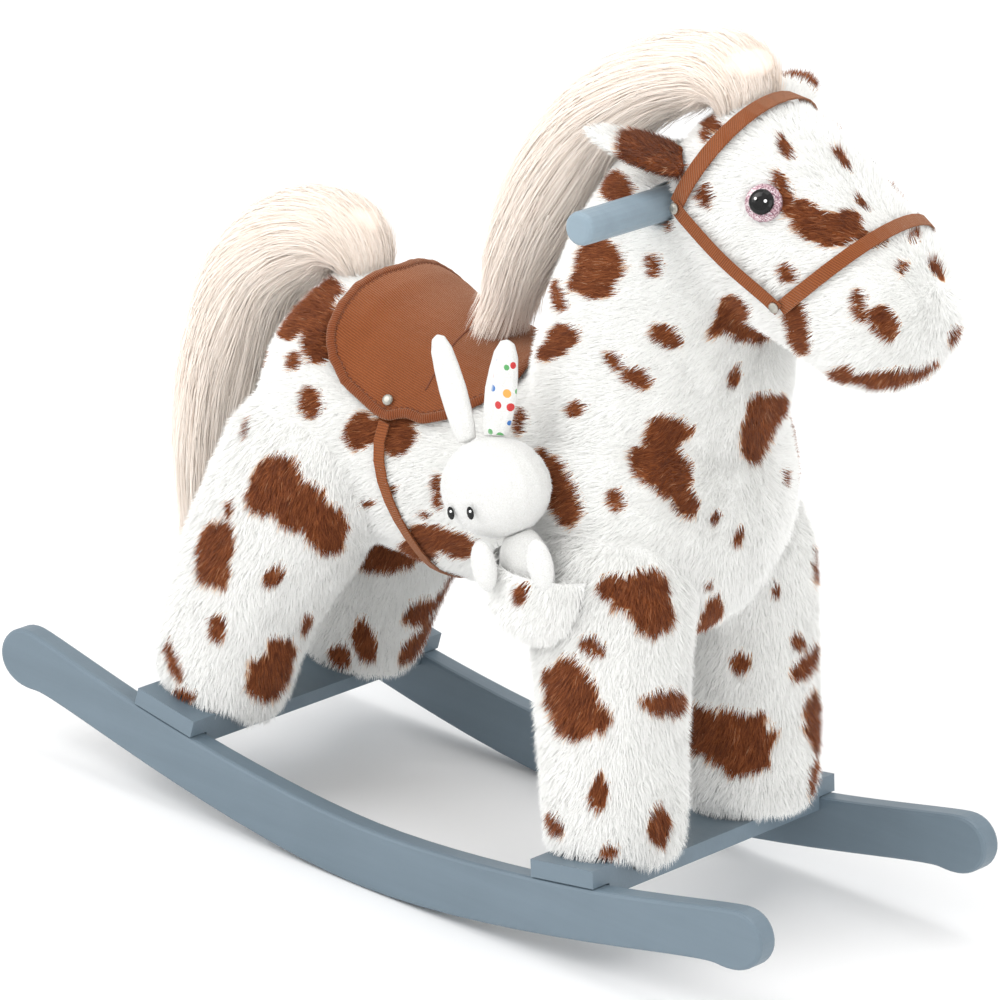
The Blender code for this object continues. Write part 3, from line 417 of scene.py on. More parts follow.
def twill_material(name, dark, light, pitch, turn):
    """Ribbed cloth. The weave attribute holds flat-cloth coordinates in metres."""
    sheen = {"Sheen Weight": 0.50, "Sheen Roughness": 0.4, "Sheen Tint": (1.0, 0.72, 0.52, 1.0)}
    shader = Shader(name, 0.85, 0.2, **sheen)
    cloth = shader.attribute("weave", "Vector")
    parts = shader.add("SeparateXYZ", {"Vector": cloth})
    along = shader.math("MULTIPLY", parts.outputs["X"], math.cos(math.radians(turn)))
    across = shader.math("MULTIPLY", parts.outputs["Y"], math.sin(math.radians(turn)))
    ribs_at = shader.math("ADD", along, across)
    wobble = shader.math("MULTIPLY", shader.noise(90.0, 2.0, cloth), 0.0010)
    phase = shader.math("MULTIPLY", shader.math("ADD", ribs_at, wobble), math.tau / pitch)
    rib = shader.math("SINE", phase)
    slub = shader.noise(2200.0, 3.0, cloth)
    height = shader.math("ADD", shader.math("MULTIPLY", rib, 0.38), slub)
    patchy = shader.noise(40.0, 4.0, cloth)
    tone = shader.math("ADD", height, shader.math("MULTIPLY", patchy, 0.5))
    shader.colour(shader.ramp(tone, ((0.15, dark), (1.25, light))))
    shader.bump(height, 0.0005)
    return shader.material


def speckled_material(name, roughness, scale, dark, light, specular=0.5, detail=3.0, top=0.7):
    """Plain but for faint specks: thread, eyes and the floor."""
    shader = Shader(name, roughness, specular)
    shader.colour(shader.ramp(shader.noise(scale, detail), ((0.3, dark), (top, light))))
    return shader.material


def fleece_material(name="bunny_fleece", confetti=False):
    """Short white pile. An ear's printed face has confetti dots where its print attribute is 1."""
    shader = Shader(name, 0.9, 0.15, **{"Sheen Weight": 0.3})
    pile = shader.noise(1100.0, 3.0)
    white = shader.ramp(pile, ((0.25, (0.72, 0.715, 0.69)), (0.65, (0.86, 0.86, 0.84))))
    if confetti:
        dots = shader.add("TexVoronoi", {"Vector": shader.place(), "Scale": 125.0})
        hue = shader.add("SeparateColor", {"Color": dots.outputs["Color"]}).outputs["Red"]
        stops = (
            (0.00, (0.62, 0.05, 0.05)), (0.22, (0.05, 0.19, 0.52)), (0.42, (0.12, 0.40, 0.14)),
            (0.60, (0.85, 0.42, 0.10)), (0.78, (0.20, 0.52, 0.55)),
        )
        paint = shader.ramp(hue, stops)
        paint.node.color_ramp.interpolation = "CONSTANT"
        near = shader.math("LESS_THAN", dots.outputs["Distance"], 0.36)
        share = shader.math("MULTIPLY", near, shader.attribute("print"))
        white = shader.blend("MIX", share, white, paint)
    shader.colour(white)
    shader.bump(pile, 0.0010)
    return shader.material


def glitter_material():
    shader = Shader("pink_glitter", 0.3, metallic=0.35, **{"Coat Weight": 0.4, "Coat Roughness": 0.1})
    flakes = shader.add("TexVoronoi", {"Vector": shader.place(), "Scale": 1300.0})
    hue = shader.add("SeparateColor", {"Color": flakes.outputs["Color"]})
    stops = (
        (0.0, (0.16, 0.07, 0.10)), (0.30, (0.42, 0.22, 0.27)), (0.6, (0.60, 0.40, 0.44)),
        (1.0, (0.85, 0.78, 0.80)),
    )
    shader.colour(shader.ramp(hue.outputs["Red"], stops))
    shader.bump(hue.outputs["Green"], 0.0006)
    return shader.material


# White for the painted reflections on the horse's eyes, and for the printed dot on the rabbit's.
def glint_material():
    return speckled_material("eye_glint", 0.3, 800.0, grey(0.86), grey(0.95))


# ---- soft forms


def largest_island(mesh):
    """Drops every loose island but the one with the most vertices."""
    bm = bmesh.new()
    bm.from_mesh(mesh)
    unseen, biggest = set(bm.verts), []
    while unseen:
        island, edge = [], [unseen.pop()]
        while edge:
            vert = edge.pop()
            island.append(vert)
            for link in vert.link_edges:
                other = link.other_vert(vert)
                if other in unseen:
                    unseen.remove(other)
                    edge.append(other)
        if len(island) > len(biggest):
            biggest = island
    keep = set(biggest)
    bmesh.ops.delete(bm, geom=[v for v in bm.verts if v not in keep], context="VERTS")
    bm.to_mesh(mesh)
    bm.free()


def soft_form(name, nodes, voxel, rounds, sink, swell=0.0):
    """One closed, rounded form round the CAD nodes: swollen, remeshed, smoothed, then sunk."""
    bm = bmesh.new()
    for node in nodes:
        part = bmesh.new()
        part.from_mesh(NODES[node].data)
        bmesh.ops.remove_doubles(part, verts=part.verts, dist=CAD_WELD)
        bmesh.ops.recalc_face_normals(part, faces=part.faces)
        part.normal_update()
        for vert in part.verts:
            vert.co += vert.normal * swell
        mesh = bpy.data.meshes.new("part")
        part.to_mesh(mesh)
        part.free()
        bm.from_mesh(mesh)
        bpy.data.meshes.remove(mesh)
    mesh = bpy.data.meshes.new(name)
    bm.to_mesh(mesh)
    bm.free()
    obj = add_object(name, mesh)
    remesh = obj.modifiers.new("remesh", "REMESH")
    remesh.mode = "VOXEL"
    remesh.voxel_size = voxel
    smooth = obj.modifiers.new("smooth", "SMOOTH")
    smooth.iterations = rounds
    smooth.factor = 0.6
    displace = obj.modifiers.new("sink", "DISPLACE")
    displace.mid_level = 0.0
    displace.strength = -sink
    settle = obj.modifiers.new("settle", "SMOOTH")
    settle.iterations = 2
    made = bpy.data.meshes.new_from_object(
        obj.evaluated_get(bpy.context.evaluated_depsgraph_get())
    )
    obj.modifiers.clear()
    obj.data = made
    bpy.data.meshes.remove(mesh)
    made.name = name
    largest_island(made)
    made.materials.clear()
    made.shade_smooth()
    return obj


# ---- the coat's pattern


def left_side(patches):
    """The far side's patches: three in four of the near ones, moved and turned."""
    made = []
    for index, (x, y, z, length, width, tilt) in enumerate(patches):
        if y < -25 and index % 4 != 3:
            made.append((x - 12, -y, z + (7 if index % 2 else -9), length, width, -tilt))
    return tuple(made)


COAT = tuple(
    patch
    for patches in (HEAD_PATCHES, NECK_PATCHES, BODY_PATCHES, FRONT_LEG_PATCHES, REAR_LEG_PATCHES)
    for patch in patches + left_side(patches)
)


def patch_frames(patches, skin_points, skin_normals):
    """Each patch's centre, its two directions over its half sizes, and its outward normal."""
    frames = []
    for x, y, z, length, width, tilt in patches:
        centre = np.array((x, y, z)) / 1000.0
        far = np.linalg.norm(skin_points - centre, axis=1)
        near = far < max(0.008, far.min() + 0.004)
        out = unit(skin_normals[near].mean(axis=0))
        level = unit(np.cross(Z_AXIS, out)) if abs(out[2]) < 0.98 else np.array((1.0, 0, 0))
        rise = np.cross(out, level)
        turn = math.radians(tilt)
        long_way = level * math.cos(turn) + rise * math.sin(turn)
        short_way = rise * math.cos(turn) - level * math.sin(turn)
        frames.append((centre, long_way / (length / 1000), short_way / (width / 1000), out))
    return frames


def brown_share(points, frames):
    """How brown the coat is at points, from 0 to 1, with uneven borders."""
    ragged = lattice_noise(points, 0.011, 11) * 0.16 + lattice_noise(points, 0.0045, 12) * 0.10
    share = np.zeros(len(points))
    for centre, long_way, short_way, out in frames:
        offset = points - centre
        reach = 1.5 / min(np.linalg.norm(long_way), np.linalg.norm(short_way))
        near = np.nonzero(np.abs(offset).max(axis=1) < reach + 0.004)[0]
        part = offset[near]
        radius = np.hypot(part @ long_way, part @ short_way) + ragged[near]
        inside = np.clip((1.06 - radius) / 0.16, 0.0, 1.0)
        inside[np.abs(part @ out) > PATCH_DEPTH] = 0.0
        share[near] = np.maximum(share[near], inside)
    return share


def coat_tone(points, share, rng):
    """The place on the coat's ramp: white, pale orange at a patch's border, or brown."""
    spread = lattice_noise(points, 0.004, 51)
    white = 0.10 + 0.12 * (spread + 1) / 2 + rng.uniform(-0.10, 0.10, len(share))
    brown = 0.76 + 0.10 * spread + rng.uniform(-0.16, 0.16, len(share))
    return np.clip(white + (brown - white) * share, 0.0, 1.0)


# ---- strands


def strand_mesh(name, spines, sides, widths, tone, material):
    """Narrow strips that end in a point. spines holds each strand's points from root to tip."""
    count, steps = spines.shape[:2]
    along = np.linspace(0.0, 1.0, steps)
    half = (widths[:, None] * (1 - along[:-1] ** 2) / 2)[..., None]
    left, right = spines[:, :-1] - sides * half, spines[:, :-1] + sides * half
    pairs = np.stack([left, right], axis=2).reshape(count, -1, 3)
    points = np.concatenate([pairs, spines[:, -1:]], axis=1)
    each = points.shape[1]
    faces = []
    for step in range(steps - 2):
        low = 2 * step
        faces += [(low, low + 1, low + 3), (low, low + 3, low + 2)]
    faces.append((each - 3, each - 2, each - 1))
    corners = (np.arange(count)[:, None, None] * each + np.array(faces)).reshape(-1)
    mesh = bpy.data.meshes.new(name)
    mesh.vertices.add(count * each)
    mesh.vertices.foreach_set("co", points.astype(np.float32).ravel())
    mesh.loops.add(len(corners))
    mesh.loops.foreach_set("vertex_index", corners.astype(np.int32))
    mesh.polygons.add(len(corners) // 3)
    mesh.polygons.foreach_set("loop_start", np.arange(0, len(corners), 3, dtype=np.int32))
    mesh.update(calc_edges=True)
    height = np.append(np.repeat(along[:-1], 2), 1.0)
    set_floats(mesh, "tone", np.repeat(tone, each))
    set_floats(mesh, "along", np.tile(height, count))
    # Every strand of one tone shares one column of the map, so that its colours bake exactly.
    across = np.append(np.tile((-0.004, 0.004), steps - 1), 0.0)
    columns = (0.02 + 0.96 * tone)[:, None] + across
    rows = np.tile(0.02 + 0.96 * height, (count, 1))
    flat = np.stack([columns, rows], axis=2).reshape(-1, 2)[corners]
    layer = mesh.uv_layers.new(name="OFBake")
    layer.uv.foreach_set("vector", flat.astype(np.float32).ravel())
    mesh.shade_smooth()
    mesh.materials.append(material)
    return add_object(name, mesh)


def scatter(obj, density, rng):
    """Places spread evenly over a mesh, with its normals there."""
    points, normals, triangles = points_of(obj.data), normals_of(obj.data), triangles_of(obj.data)
    a, b, c = (points[triangles[:, k]] for k in range(3))
    area = np.linalg.norm(np.cross(b - a, c - a), axis=1) / 2
    count = int(area.sum() * density)
    face = rng.choice(len(area), count, p=area / area.sum())
    u = np.sqrt(rng.random(count))
    v = rng.random(count)
    shares = np.stack([1 - u, u * (1 - v), u * v], axis=1)[..., None]
    corners = triangles[face]
    return (points[corners] * shares).sum(axis=1), unit((normals[corners] * shares).sum(axis=1))


def uncovered(roots, normals, tree, reach):
    """True where nothing lies on the coat within reach above a root."""
    cast = tree.ray_cast
    hits = [cast(Vector(p), Vector(n), reach)[0] is None for p, n in zip(roots, normals)]
    return np.array(hits, bool)


def tangent(flow, normals):
    """The directions of flow, laid flat on the surface."""
    return unit(flow - normals * (flow * normals).sum(axis=1, keepdims=True))


def fur(name, roots, normals, flow, share, length, width, material, rng, lift=0.55):
    """A patch of pile: strands that start off the surface and lean over along flow."""
    lay = tangent(flow, normals)
    tufts = noise_vectors(roots, TUFT_CELL, 21) * 0.30 + noise_vectors(roots, WAVE_CELL, 31) * 0.26
    lay = tangent(lay + tufts + rng.normal(0, 0.16, roots.shape), normals)
    rise = lift * (1 + 0.30 * lattice_noise(roots, 0.007, 41) + rng.normal(0, 0.20, len(roots)))
    rise = np.clip(rise, 0.10, 1.2)[:, None]
    reach = (length * rng.uniform(0.72, 1.22, len(roots)))[:, None]
    tip = roots + unit(normals * rise + lay + rng.normal(0, 0.10, roots.shape)) * reach
    spines = np.stack([roots - normals * 0.0006, tip], axis=1)
    roll = rng.uniform(-0.5, 0.5, len(roots))[:, None]
    sides = unit(np.cross(normals, lay) * np.cos(roll) + normals * np.sin(roll))[:, None, :]
    tone = coat_tone(roots, share, rng)
    widths = width * rng.uniform(0.7, 1.3, len(roots))
    return strand_mesh(name, spines, sides, widths, tone, material)


# ---- the coat


def nearest_owner(points, tree, owners):
    find = tree.find_nearest
    return np.array([owners[find(Vector(p))[2]] for p in points])


LEGS = ("front_right", "front_left", "rear_right", "rear_left")
PLUSH = ("plush_torso", "plush_neck", "plush_head", *(f"plush_leg_{leg}" for leg in LEGS))
FRAME_INSIDE = ("spine_board", "neck_post", "head_block", *(f"leg_post_{leg}" for leg in LEGS))
ON_THE_COAT = (
    "saddle_seat", "saddle_pommel", "girth_strap", "bridle_crown_strap", "bridle_noseband",
    *(f"{part}_{hand}" for part in ("bridle_cheek_strap", "eye_ring", "eye_pupil") for hand in HANDS),
    "bunny_pocket", "handle_bar", "cross_member_front", "cross_member_rear", "ear_right", "ear_left",
)


def make_skin(name, nodes, patches, seed, fill, inside=(), **form):
    """The skin in place of some CAD nodes, with its patches' frames and its random draws."""
    skin = soft_form(name, nodes + inside, **form)
    points, normals = points_of(skin.data), normals_of(skin.data)
    frames = patch_frames(patches, points, normals)
    rng = np.random.default_rng(seed)
    set_floats(skin.data, "tone", coat_tone(points, brown_share(points, frames), rng))
    place(skin, "horse", skin_material())
    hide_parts(*nodes)
    return skin, frames, rng


def open_roots(skin, frames, rng, density, covers, reach):
    """Where pile grows on a skin, clear of what covers it, and how brown it is there."""
    roots, normals = scatter(skin, density, rng)
    cover, _ = tree_of(covers)
    kept = uncovered(roots, normals, cover, reach)
    roots, normals = roots[kept], normals[kept]
    return roots, normals, brown_share(roots, frames)


def make_coat(coat_fur):
    """The skin under the fur, and the fur itself, one piece for each part of the body."""
    skin, frames, rng = make_skin(
        "plush_skin", PLUSH, COAT, SEED, 0.9, FRAME_INSIDE,
        voxel=SKIN_VOXEL, rounds=5, sink=FUR_SINK, swell=0.0009,
    )
    roots, normals, share = open_roots(skin, frames, rng, FUR_DENSITY, ON_THE_COAT, 0.0105)
    tree, owners = tree_of(PLUSH)
    owner = nearest_owner(roots, tree, owners)
    for index, name in enumerate(PLUSH):
        leg = "leg" in name
        flow = np.array(DOWNWARD if leg else BACKWARD_AND_DOWN)
        length = FUR_LENGTH * (1.12 if leg else 1.0)
        halves = {"": owner == index}
        if name == "plush_torso":
            right = roots[:, 1] < 0
            halves = {"_right": halves[""] & right, "_left": halves[""] & ~right}
        for half, chosen in halves.items():
            made = fur(
                name.replace("plush", "fur") + half, roots[chosen], normals[chosen], flow,
                share[chosen], length, FUR_WIDTH, coat_fur, rng,
            )
            place(made, "horse")


def make_ear(hand, coat_fur):
    """A flat furry ear: its pile runs to the tip and sticks out past the rim."""
    skin, frames, rng = make_skin(
        f"ear_{hand}_skin", (f"ear_{hand}",), EAR_PATCHES, SEED + (1 if hand == "right" else 2), 0.5,
        voxel=0.0016, rounds=3, sink=0.0016,
    )
    covers = ("bridle_crown_strap", "mane", "bridle_cheek_strap_right")
    roots, normals, share = open_roots(skin, frames, rng, FUR_DENSITY * 1.3, covers, 0.008)
    base = np.array((0.160, -0.02 if hand == "right" else 0.02, 0.530))
    made = fur(
        f"fur_ear_{hand}", roots, normals, unit(roots - base), share,
        0.0068, 0.0007, coat_fur, rng, 0.4,
    )
    place(made, "horse")


def make_pocket(coat_fur):
    """The pocket on the shoulder that holds the toy rabbit."""
    skin, frames, rng = make_skin(
        "bunny_pocket_skin", ("bunny_pocket",), POCKET_PATCHES, SEED + 3, 0.3,
        voxel=0.0014, rounds=2, sink=0.0008,
    )
    covers = ("bunny_body", "bunny_arm_right", "bunny_arm_left")
    roots, normals, share = open_roots(skin, frames, rng, FUR_DENSITY, covers, 0.004)
    flow = np.array((-0.3, 0.0, -1.0))
    made = fur("fur_pocket", roots, normals, flow, share, 0.0078, 0.0007, coat_fur, rng, 0.45)
    place(made, "horse")


# ---- mane and tail


def lock_frame(line, count):
    """Points along a lock, its width and height directions there, and its half sizes."""
    path = smooth_path(np.array([(x, 0, z, w, h) for x, z, w, h in line]) / 1000, count)
    forward = unit(np.gradient(path[:, :3], axis=0))
    wide = np.tile((0.0, 1.0, 0.0), (count, 1))
    return path[:, :3], wide, np.cross(forward, wide), path[:, 3], path[:, 4]


def at_share(table, share):
    """Rows of table at shares from 0 to 1 along it, in between where they fall between rows."""
    where = np.clip(share, 0.0, 1.0) * (len(table) - 1)
    low = np.minimum(where.astype(int), len(table) - 2)
    part = where - low
    part = part[..., None] if table.ndim > 1 else part
    return table[low] * (1 - part) + table[low + 1] * part


def lock_core(name, node, body, centre, high, material):
    """The soft inside of a lock, which knows how far along and round it each point is."""
    core = soft_form(f"{name}_core", (node,), voxel=0.003, rounds=4, sink=0.0045)
    points = points_of(core.data)
    nearest = np.linalg.norm(points[:, None, :] - centre[None], axis=2).argmin(axis=1)
    offset = points - centre[nearest]
    turn = np.arctan2((offset * high[nearest]).sum(axis=1), offset[:, 1])
    set_vectors(core.data, "lock", np.stack([nearest * 0.06, turn * 5.0, turn * 0], axis=1))
    place(core, body, material)
    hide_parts(node)


def make_lock(name, node, body, line, count, run, past, hair, core):
    """A lock of long hair: a soft core, and strands that flow along it and end in wisps."""
    centre, wide, high, half_width, half_height = lock_frame(line, 80)
    lock_core(name, node, body, centre, high, core)
    rng = np.random.default_rng(SEED + len(name))
    along = np.linspace(0, 1, 6)
    # Strands start all along the lock, and more than a quarter of them at its root.
    start = rng.uniform(-0.04, 1.0 - run[0] * 0.6, count)
    early = rng.random(count) < 0.28
    start[early] = rng.uniform(-0.09, 0.04, early.sum())
    share = start[:, None] + rng.uniform(*run, count)[:, None] * along
    beyond = np.clip(share - 1.0, 0.0, None)
    theta = rng.uniform(0, math.tau, count)[:, None]
    lock = theta * 3 + start[:, None] * 9
    theta = theta + 0.12 * np.sin(share * 9 + lock) + rng.normal(0, 0.15, (count, 1)) * share
    depth = rng.uniform(0.74, 1.0, (count, 1)) + 0.13 * along**2
    depth = depth + 0.04 * np.sin(share * 14 + lock * 2)
    depth = depth * np.sqrt(np.clip((share + 0.05) / 0.09, 0.02, 1.0))
    stray = rng.random((count, 1)) < 0.09
    depth = depth + stray * 0.30 * along**2
    width, height = at_share(half_width, share), at_share(half_height, share)
    across = at_share(wide, share) * (width * depth * np.cos(theta))[..., None]
    up = at_share(high, share) * (height * depth * np.sin(theta))[..., None]
    length = distances_along(centre)[-1]
    last = unit(centre[-1] - centre[-4]) * (length * beyond * past)[..., None]
    spines = at_share(centre, share) + across + up + last
    direction = unit(np.gradient(spines, axis=1))
    roll = rng.uniform(-0.8, 0.8, (count, 1, 1))
    flat = unit(np.cross(direction, unit(across + up + 1e-9)))
    sides = (flat * np.cos(roll) + np.cross(direction, flat) * np.sin(roll))[:, :-1]
    tone = 0.55 + 0.10 * np.sin(lock[:, 0] * 5) + rng.normal(0, 0.13, count)
    widths = rng.uniform(0.0004, 0.0009, count)
    strands = strand_mesh(name, spines, sides, widths, np.clip(tone, 0, 1), hair)
    place(strands, body)


# ---- saddle and straps


def set_weave(mesh, along, across, depth=0.0):
    """The cloth coordinates that twill_material() reads."""
    set_vectors(mesh, "weave", np.stack(np.broadcast_arrays(along, across, depth), axis=1))


def weave_round(mesh, axis):
    """Cloth coordinates on a piece wrapped round the body: along it, and round it."""
    x, y, z = (points_of(mesh) - axis).T
    radius = np.hypot(y, z).mean()
    set_weave(mesh, x, np.arctan2(z, y + 1e-9) * radius, radius)


def rim_of(node, middle):
    """The rim of a CAD panel's outer face, as a closed row of points."""
    bm = bmesh.new()
    bm.from_mesh(NODES[node].data)
    bmesh.ops.remove_doubles(bm, verts=bm.verts, dist=CAD_WELD)
    bm.normal_update()
    middle = Vector(middle)

    def faces_out(face):
        out = face.calc_center_median() - middle
        out.x = 0
        return face.normal.dot(out.normalized()) > 0.62

    follow = {}
    for edge in bm.edges:
        out = [faces_out(face) for face in edge.link_faces]
        if len(out) == 2 and out[0] != out[1]:
            a, b = edge.verts
            follow.setdefault(a.index, []).append(b.index)
            follow.setdefault(b.index, []).append(a.index)
    bm.verts.ensure_lookup_table()
    loops, seen = [], set()
    for start in follow:
        row, here = [], start
        while here is not None and here not in seen:
            seen.add(here)
            row.append(here)
            onward = [v for v in follow[here] if v not in seen]
            here = onward[0] if onward else None
        loops.append(row)
    rim = np.array([bm.verts[i].co[:] for i in max(loops, key=len)])
    bm.free()
    return rim


def longest_run(keep):
    """The indices of the longest unbroken run of True in a closed row."""
    best, run = [], []
    for index in list(range(len(keep))) * 2:
        run = run + [index] if keep[index] else []
        if len(run) > len(best):
            best = run
    return best[: len(keep)]


def saddle_outline(middle, tree):
    """The saddle's outer edge: the rims of its two panels, without the seam between them."""
    seat, pommel = (even_loop(rim_of(f"saddle_{panel}", middle), 0.002) for panel in ("seat", "pommel"))
    gaps = np.linalg.norm(seat[:, None] - pommel[None], axis=2)
    seat = seat[longest_run(gaps.min(axis=1) > PANEL_GAP)]
    pommel = pommel[longest_run(gaps.min(axis=0) > PANEL_GAP)]
    if np.linalg.norm(seat[-1] - pommel[-1]) < np.linalg.norm(seat[-1] - pommel[0]):
        pommel = pommel[::-1]
    rim = even_loop(np.vstack([seat, pommel]), 0.003)
    return np.array([tree.find_nearest(Vector(p))[0][:] for p in rim])


def even_loop(rim, spacing):
    """The closed row of points, at even steps and slightly rounded."""
    closed = np.vstack([rim, rim[:1]])
    run = distances_along(closed)
    even = points_at(np.arange(0.0, run[-1], spacing), run, closed)
    for _ in range(8):
        even = (np.roll(even, 1, axis=0) + 2 * even + np.roll(even, -1, axis=0)) / 4
    return even


def tube_round(name, rim, out, width, thickness, sides=10):
    """A flattened closed tube along rim: width across the cloth, thickness along out."""
    forward = unit(np.roll(rim, -1, axis=0) - np.roll(rim, 1, axis=0))
    across = unit(np.cross(forward, out))
    out = np.cross(across, forward)
    turn = np.linspace(0, math.tau, sides, endpoint=False)
    ring = across[:, None] * (np.cos(turn)[:, None] * width / 2)
    ring = ring + out[:, None] * (np.sin(turn)[:, None] * thickness / 2)
    points = (rim[:, None] + ring).reshape(-1, 3)
    count = len(rim)
    faces = []
    for i in range(count):
        ahead = (i + 1) % count
        for k in range(sides):
            on = (k + 1) % sides
            faces.append((i * sides + k, ahead * sides + k, ahead * sides + on, i * sides + on))
    mesh = bpy.data.meshes.new(name)
    mesh.from_pydata(points.tolist(), [], faces)
    step = np.linalg.norm(rim - np.roll(rim, 1, axis=0), axis=1)
    run = np.repeat(np.cumsum(step), sides)
    set_weave(mesh, run, np.tile(turn * width / 4, count))
    bm = bmesh.new()
    bm.from_mesh(mesh)
    bmesh.ops.recalc_face_normals(bm, faces=bm.faces)
    bm.to_mesh(mesh)
    bm.free()
    mesh.shade_smooth()
    return add_object(name, mesh)


def stitches(name, line, out, length, gap, radius, material):
    """Short raised threads in a row along line."""
    run = distances_along(line)
    bm = bmesh.new()
    for start in np.arange(0.0, run[-1] - length, length + gap):
        first, last = points_at(start, run, line), points_at(start + length, run, line)
        along = Vector(last - first)
        turn = along.to_track_quat("X", "Z").to_matrix().to_4x4()
        middle = Vector((first + last) / 2 + points_at(start, run, out) * radius * 0.3)
        size = Matrix.Diagonal((along.length / 2, radius, radius, 1.0))
        bmesh.ops.create_icosphere(
            bm, subdivisions=1, radius=1.0, matrix=Matrix.Translation(middle) @ turn @ size
        )
    place(add_object(name, mesh_from(bm, name)), "horse", material)


def saddle_seam(axis, cover_tree):
    """Where the seat laps over the pommel, across the top, and the way up from there."""
    seat = points_of(NODES["saddle_seat"].data)
    around = np.degrees(np.arctan2(seat[:, 1], seat[:, 2] - axis[2]))
    turns = np.radians(np.arange(-60.0, 61.0, 2.5))
    front = np.array([seat[np.abs(around - math.degrees(t)) < 6, 0].max() for t in turns])
    front[1:-1] = (front[:-2] + front[1:-1] + front[2:]) / 3
    up = np.stack([turns * 0, np.sin(turns), np.cos(turns)], axis=1)
    start = axis + up * 0.2
    start[:, 0] = front
    hits = [cover_tree.ray_cast(Vector(p), Vector(-u))[0] for p, u in zip(start, up)]
    found = [k for k, hit in enumerate(hits) if hit is not None]
    return np.array([hits[k][:] for k in found]), up[found]


def make_saddle():
    """One padded twill cover, its lapped seam, and its bound, stitched edge."""
    cloth = twill_material("saddle_twill", (0.150, 0.036, 0.010), (0.295, 0.084, 0.025), 0.0015, -80)
    binding = twill_material("saddle_binding", (0.14, 0.032, 0.010), (0.24, 0.064, 0.019), 0.0016, 0)
    axis = np.array(SADDLE_AXIS)
    cover = soft_form(
        "saddle_cover", ("saddle_seat", "saddle_pommel"),
        voxel=0.0016, rounds=4, sink=0.0016, swell=0.0005,
    )
    weave_round(cover.data, axis)
    place(cover, "horse", cloth)
    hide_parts("saddle_seat", "saddle_pommel")
    tree = BVHTree.FromPolygons(points_of(cover.data).tolist(), triangles_of(cover.data).tolist())
    rim = saddle_outline(axis, tree)
    out = rim - axis
    out[:, 0] = 0.0
    out = unit(out)
    edge = tube_round(
        "saddle_binding", rim - out * 0.0002, out, BINDING_WIDTH, BINDING_THICKNESS
    )
    place(edge, "horse", binding)
    inward = np.cross(unit(np.roll(rim, -1, axis=0) - np.roll(rim, 1, axis=0)), out)
    inward *= np.sign((inward * (rim.mean(axis=0) - rim)).sum())
    line = rim + inward * STITCH_INSET + out * 0.004
    line = np.array([tree.find_nearest(Vector(p))[0][:] for p in line])
    brown = ((0.13, 0.035, 0.014), (0.24, 0.07, 0.028))
    thread = speckled_material("brown_thread", 0.8, 2500.0, *brown, detail=2.0)
    stitches("saddle_stitches", line, out, STITCH_LENGTH, STITCH_GAP, 0.00045, thread)
    seam, up = saddle_seam(axis, tree)
    stitches("saddle_seam", seam, up, 0.0060, -0.0030, 0.0007, thread)
    beside = seam - (SEAM_INSET, 0, 0)
    stitches("saddle_seam_stitches", beside, up, STITCH_LENGTH, STITCH_GAP, 0.0004, thread)


def strap_weave(mesh, centre, axis):
    """Cloth coordinates on a band round axis: round it first, so that its ribs run across."""
    points = points_of(mesh) - centre
    axis = unit(np.array(axis))
    level = unit(np.cross(axis, (0.3, 1.0, 0.2)))
    rise = np.cross(axis, level)
    a, b = points @ level, points @ rise
    set_weave(mesh, np.arctan2(b, a) * np.hypot(a, b).mean(), points @ axis)


def box_middle(node):
    low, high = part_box(node)
    return np.array((low + high) / 2)


def make_straps():
    """The bridle and the girth: ribbed webbing on the CAD bands."""
    webbing = twill_material("strap_webbing", (0.150, 0.036, 0.010), (0.30, 0.088, 0.027), 0.0014, 6)
    bands = {
        "girth_strap": (1.0, 0.0, 0.0),
        "bridle_crown_strap": (0.45, 0.0, -0.89),
        "bridle_noseband": (0.93, 0.0, -0.37),
    }
    for node, axis in bands.items():
        strap_weave(NODES[node].data, box_middle(node), axis)
    cheeks = [f"bridle_cheek_strap_{hand}" for hand in HANDS]
    down_the_cheek = unit(np.array((0.82, 0.0, -0.57)))
    for node in cheeks:
        mesh = NODES[node].data
        set_weave(mesh, (points_of(mesh) - box_middle(node)) @ down_the_cheek, 0.0)
    for node in (*bands, *cheeks):
        dress(NODES[node], webbing, 0.0004)


def dress(obj, material, bevel=0.0, segments=2):
    """A carried-over CAD node's finish: its material and softened edges."""
    obj.data.materials.clear()
    obj.data.materials.append(material)
    if bevel:
        weld = obj.modifiers.new("weld", "WELD")
        weld.merge_threshold = CAD_WELD
        soften = obj.modifiers.new("soften", "BEVEL")
        soften.width = bevel
        soften.segments = segments
        soften.limit_method = "ANGLE"
        soften.angle_limit = math.radians(38)
        soften.harden_normals = True
    return obj


# ---- eyes and rabbit


def dot_on(name, centre, out, radii, body, material):
    """A small flat dome, such as a painted reflection on an eye."""
    bm = bmesh.new()
    bmesh.ops.create_uvsphere(bm, u_segments=16, v_segments=10, radius=1.0)
    turn = Vector(out).to_track_quat("Z", "Y").to_matrix().to_4x4()
    size = Matrix.Diagonal((*radii, 1.0))
    bm.transform(Matrix.Translation(Vector(centre)) @ turn @ size)
    place(add_object(name, mesh_from(bm, name)), body, material)


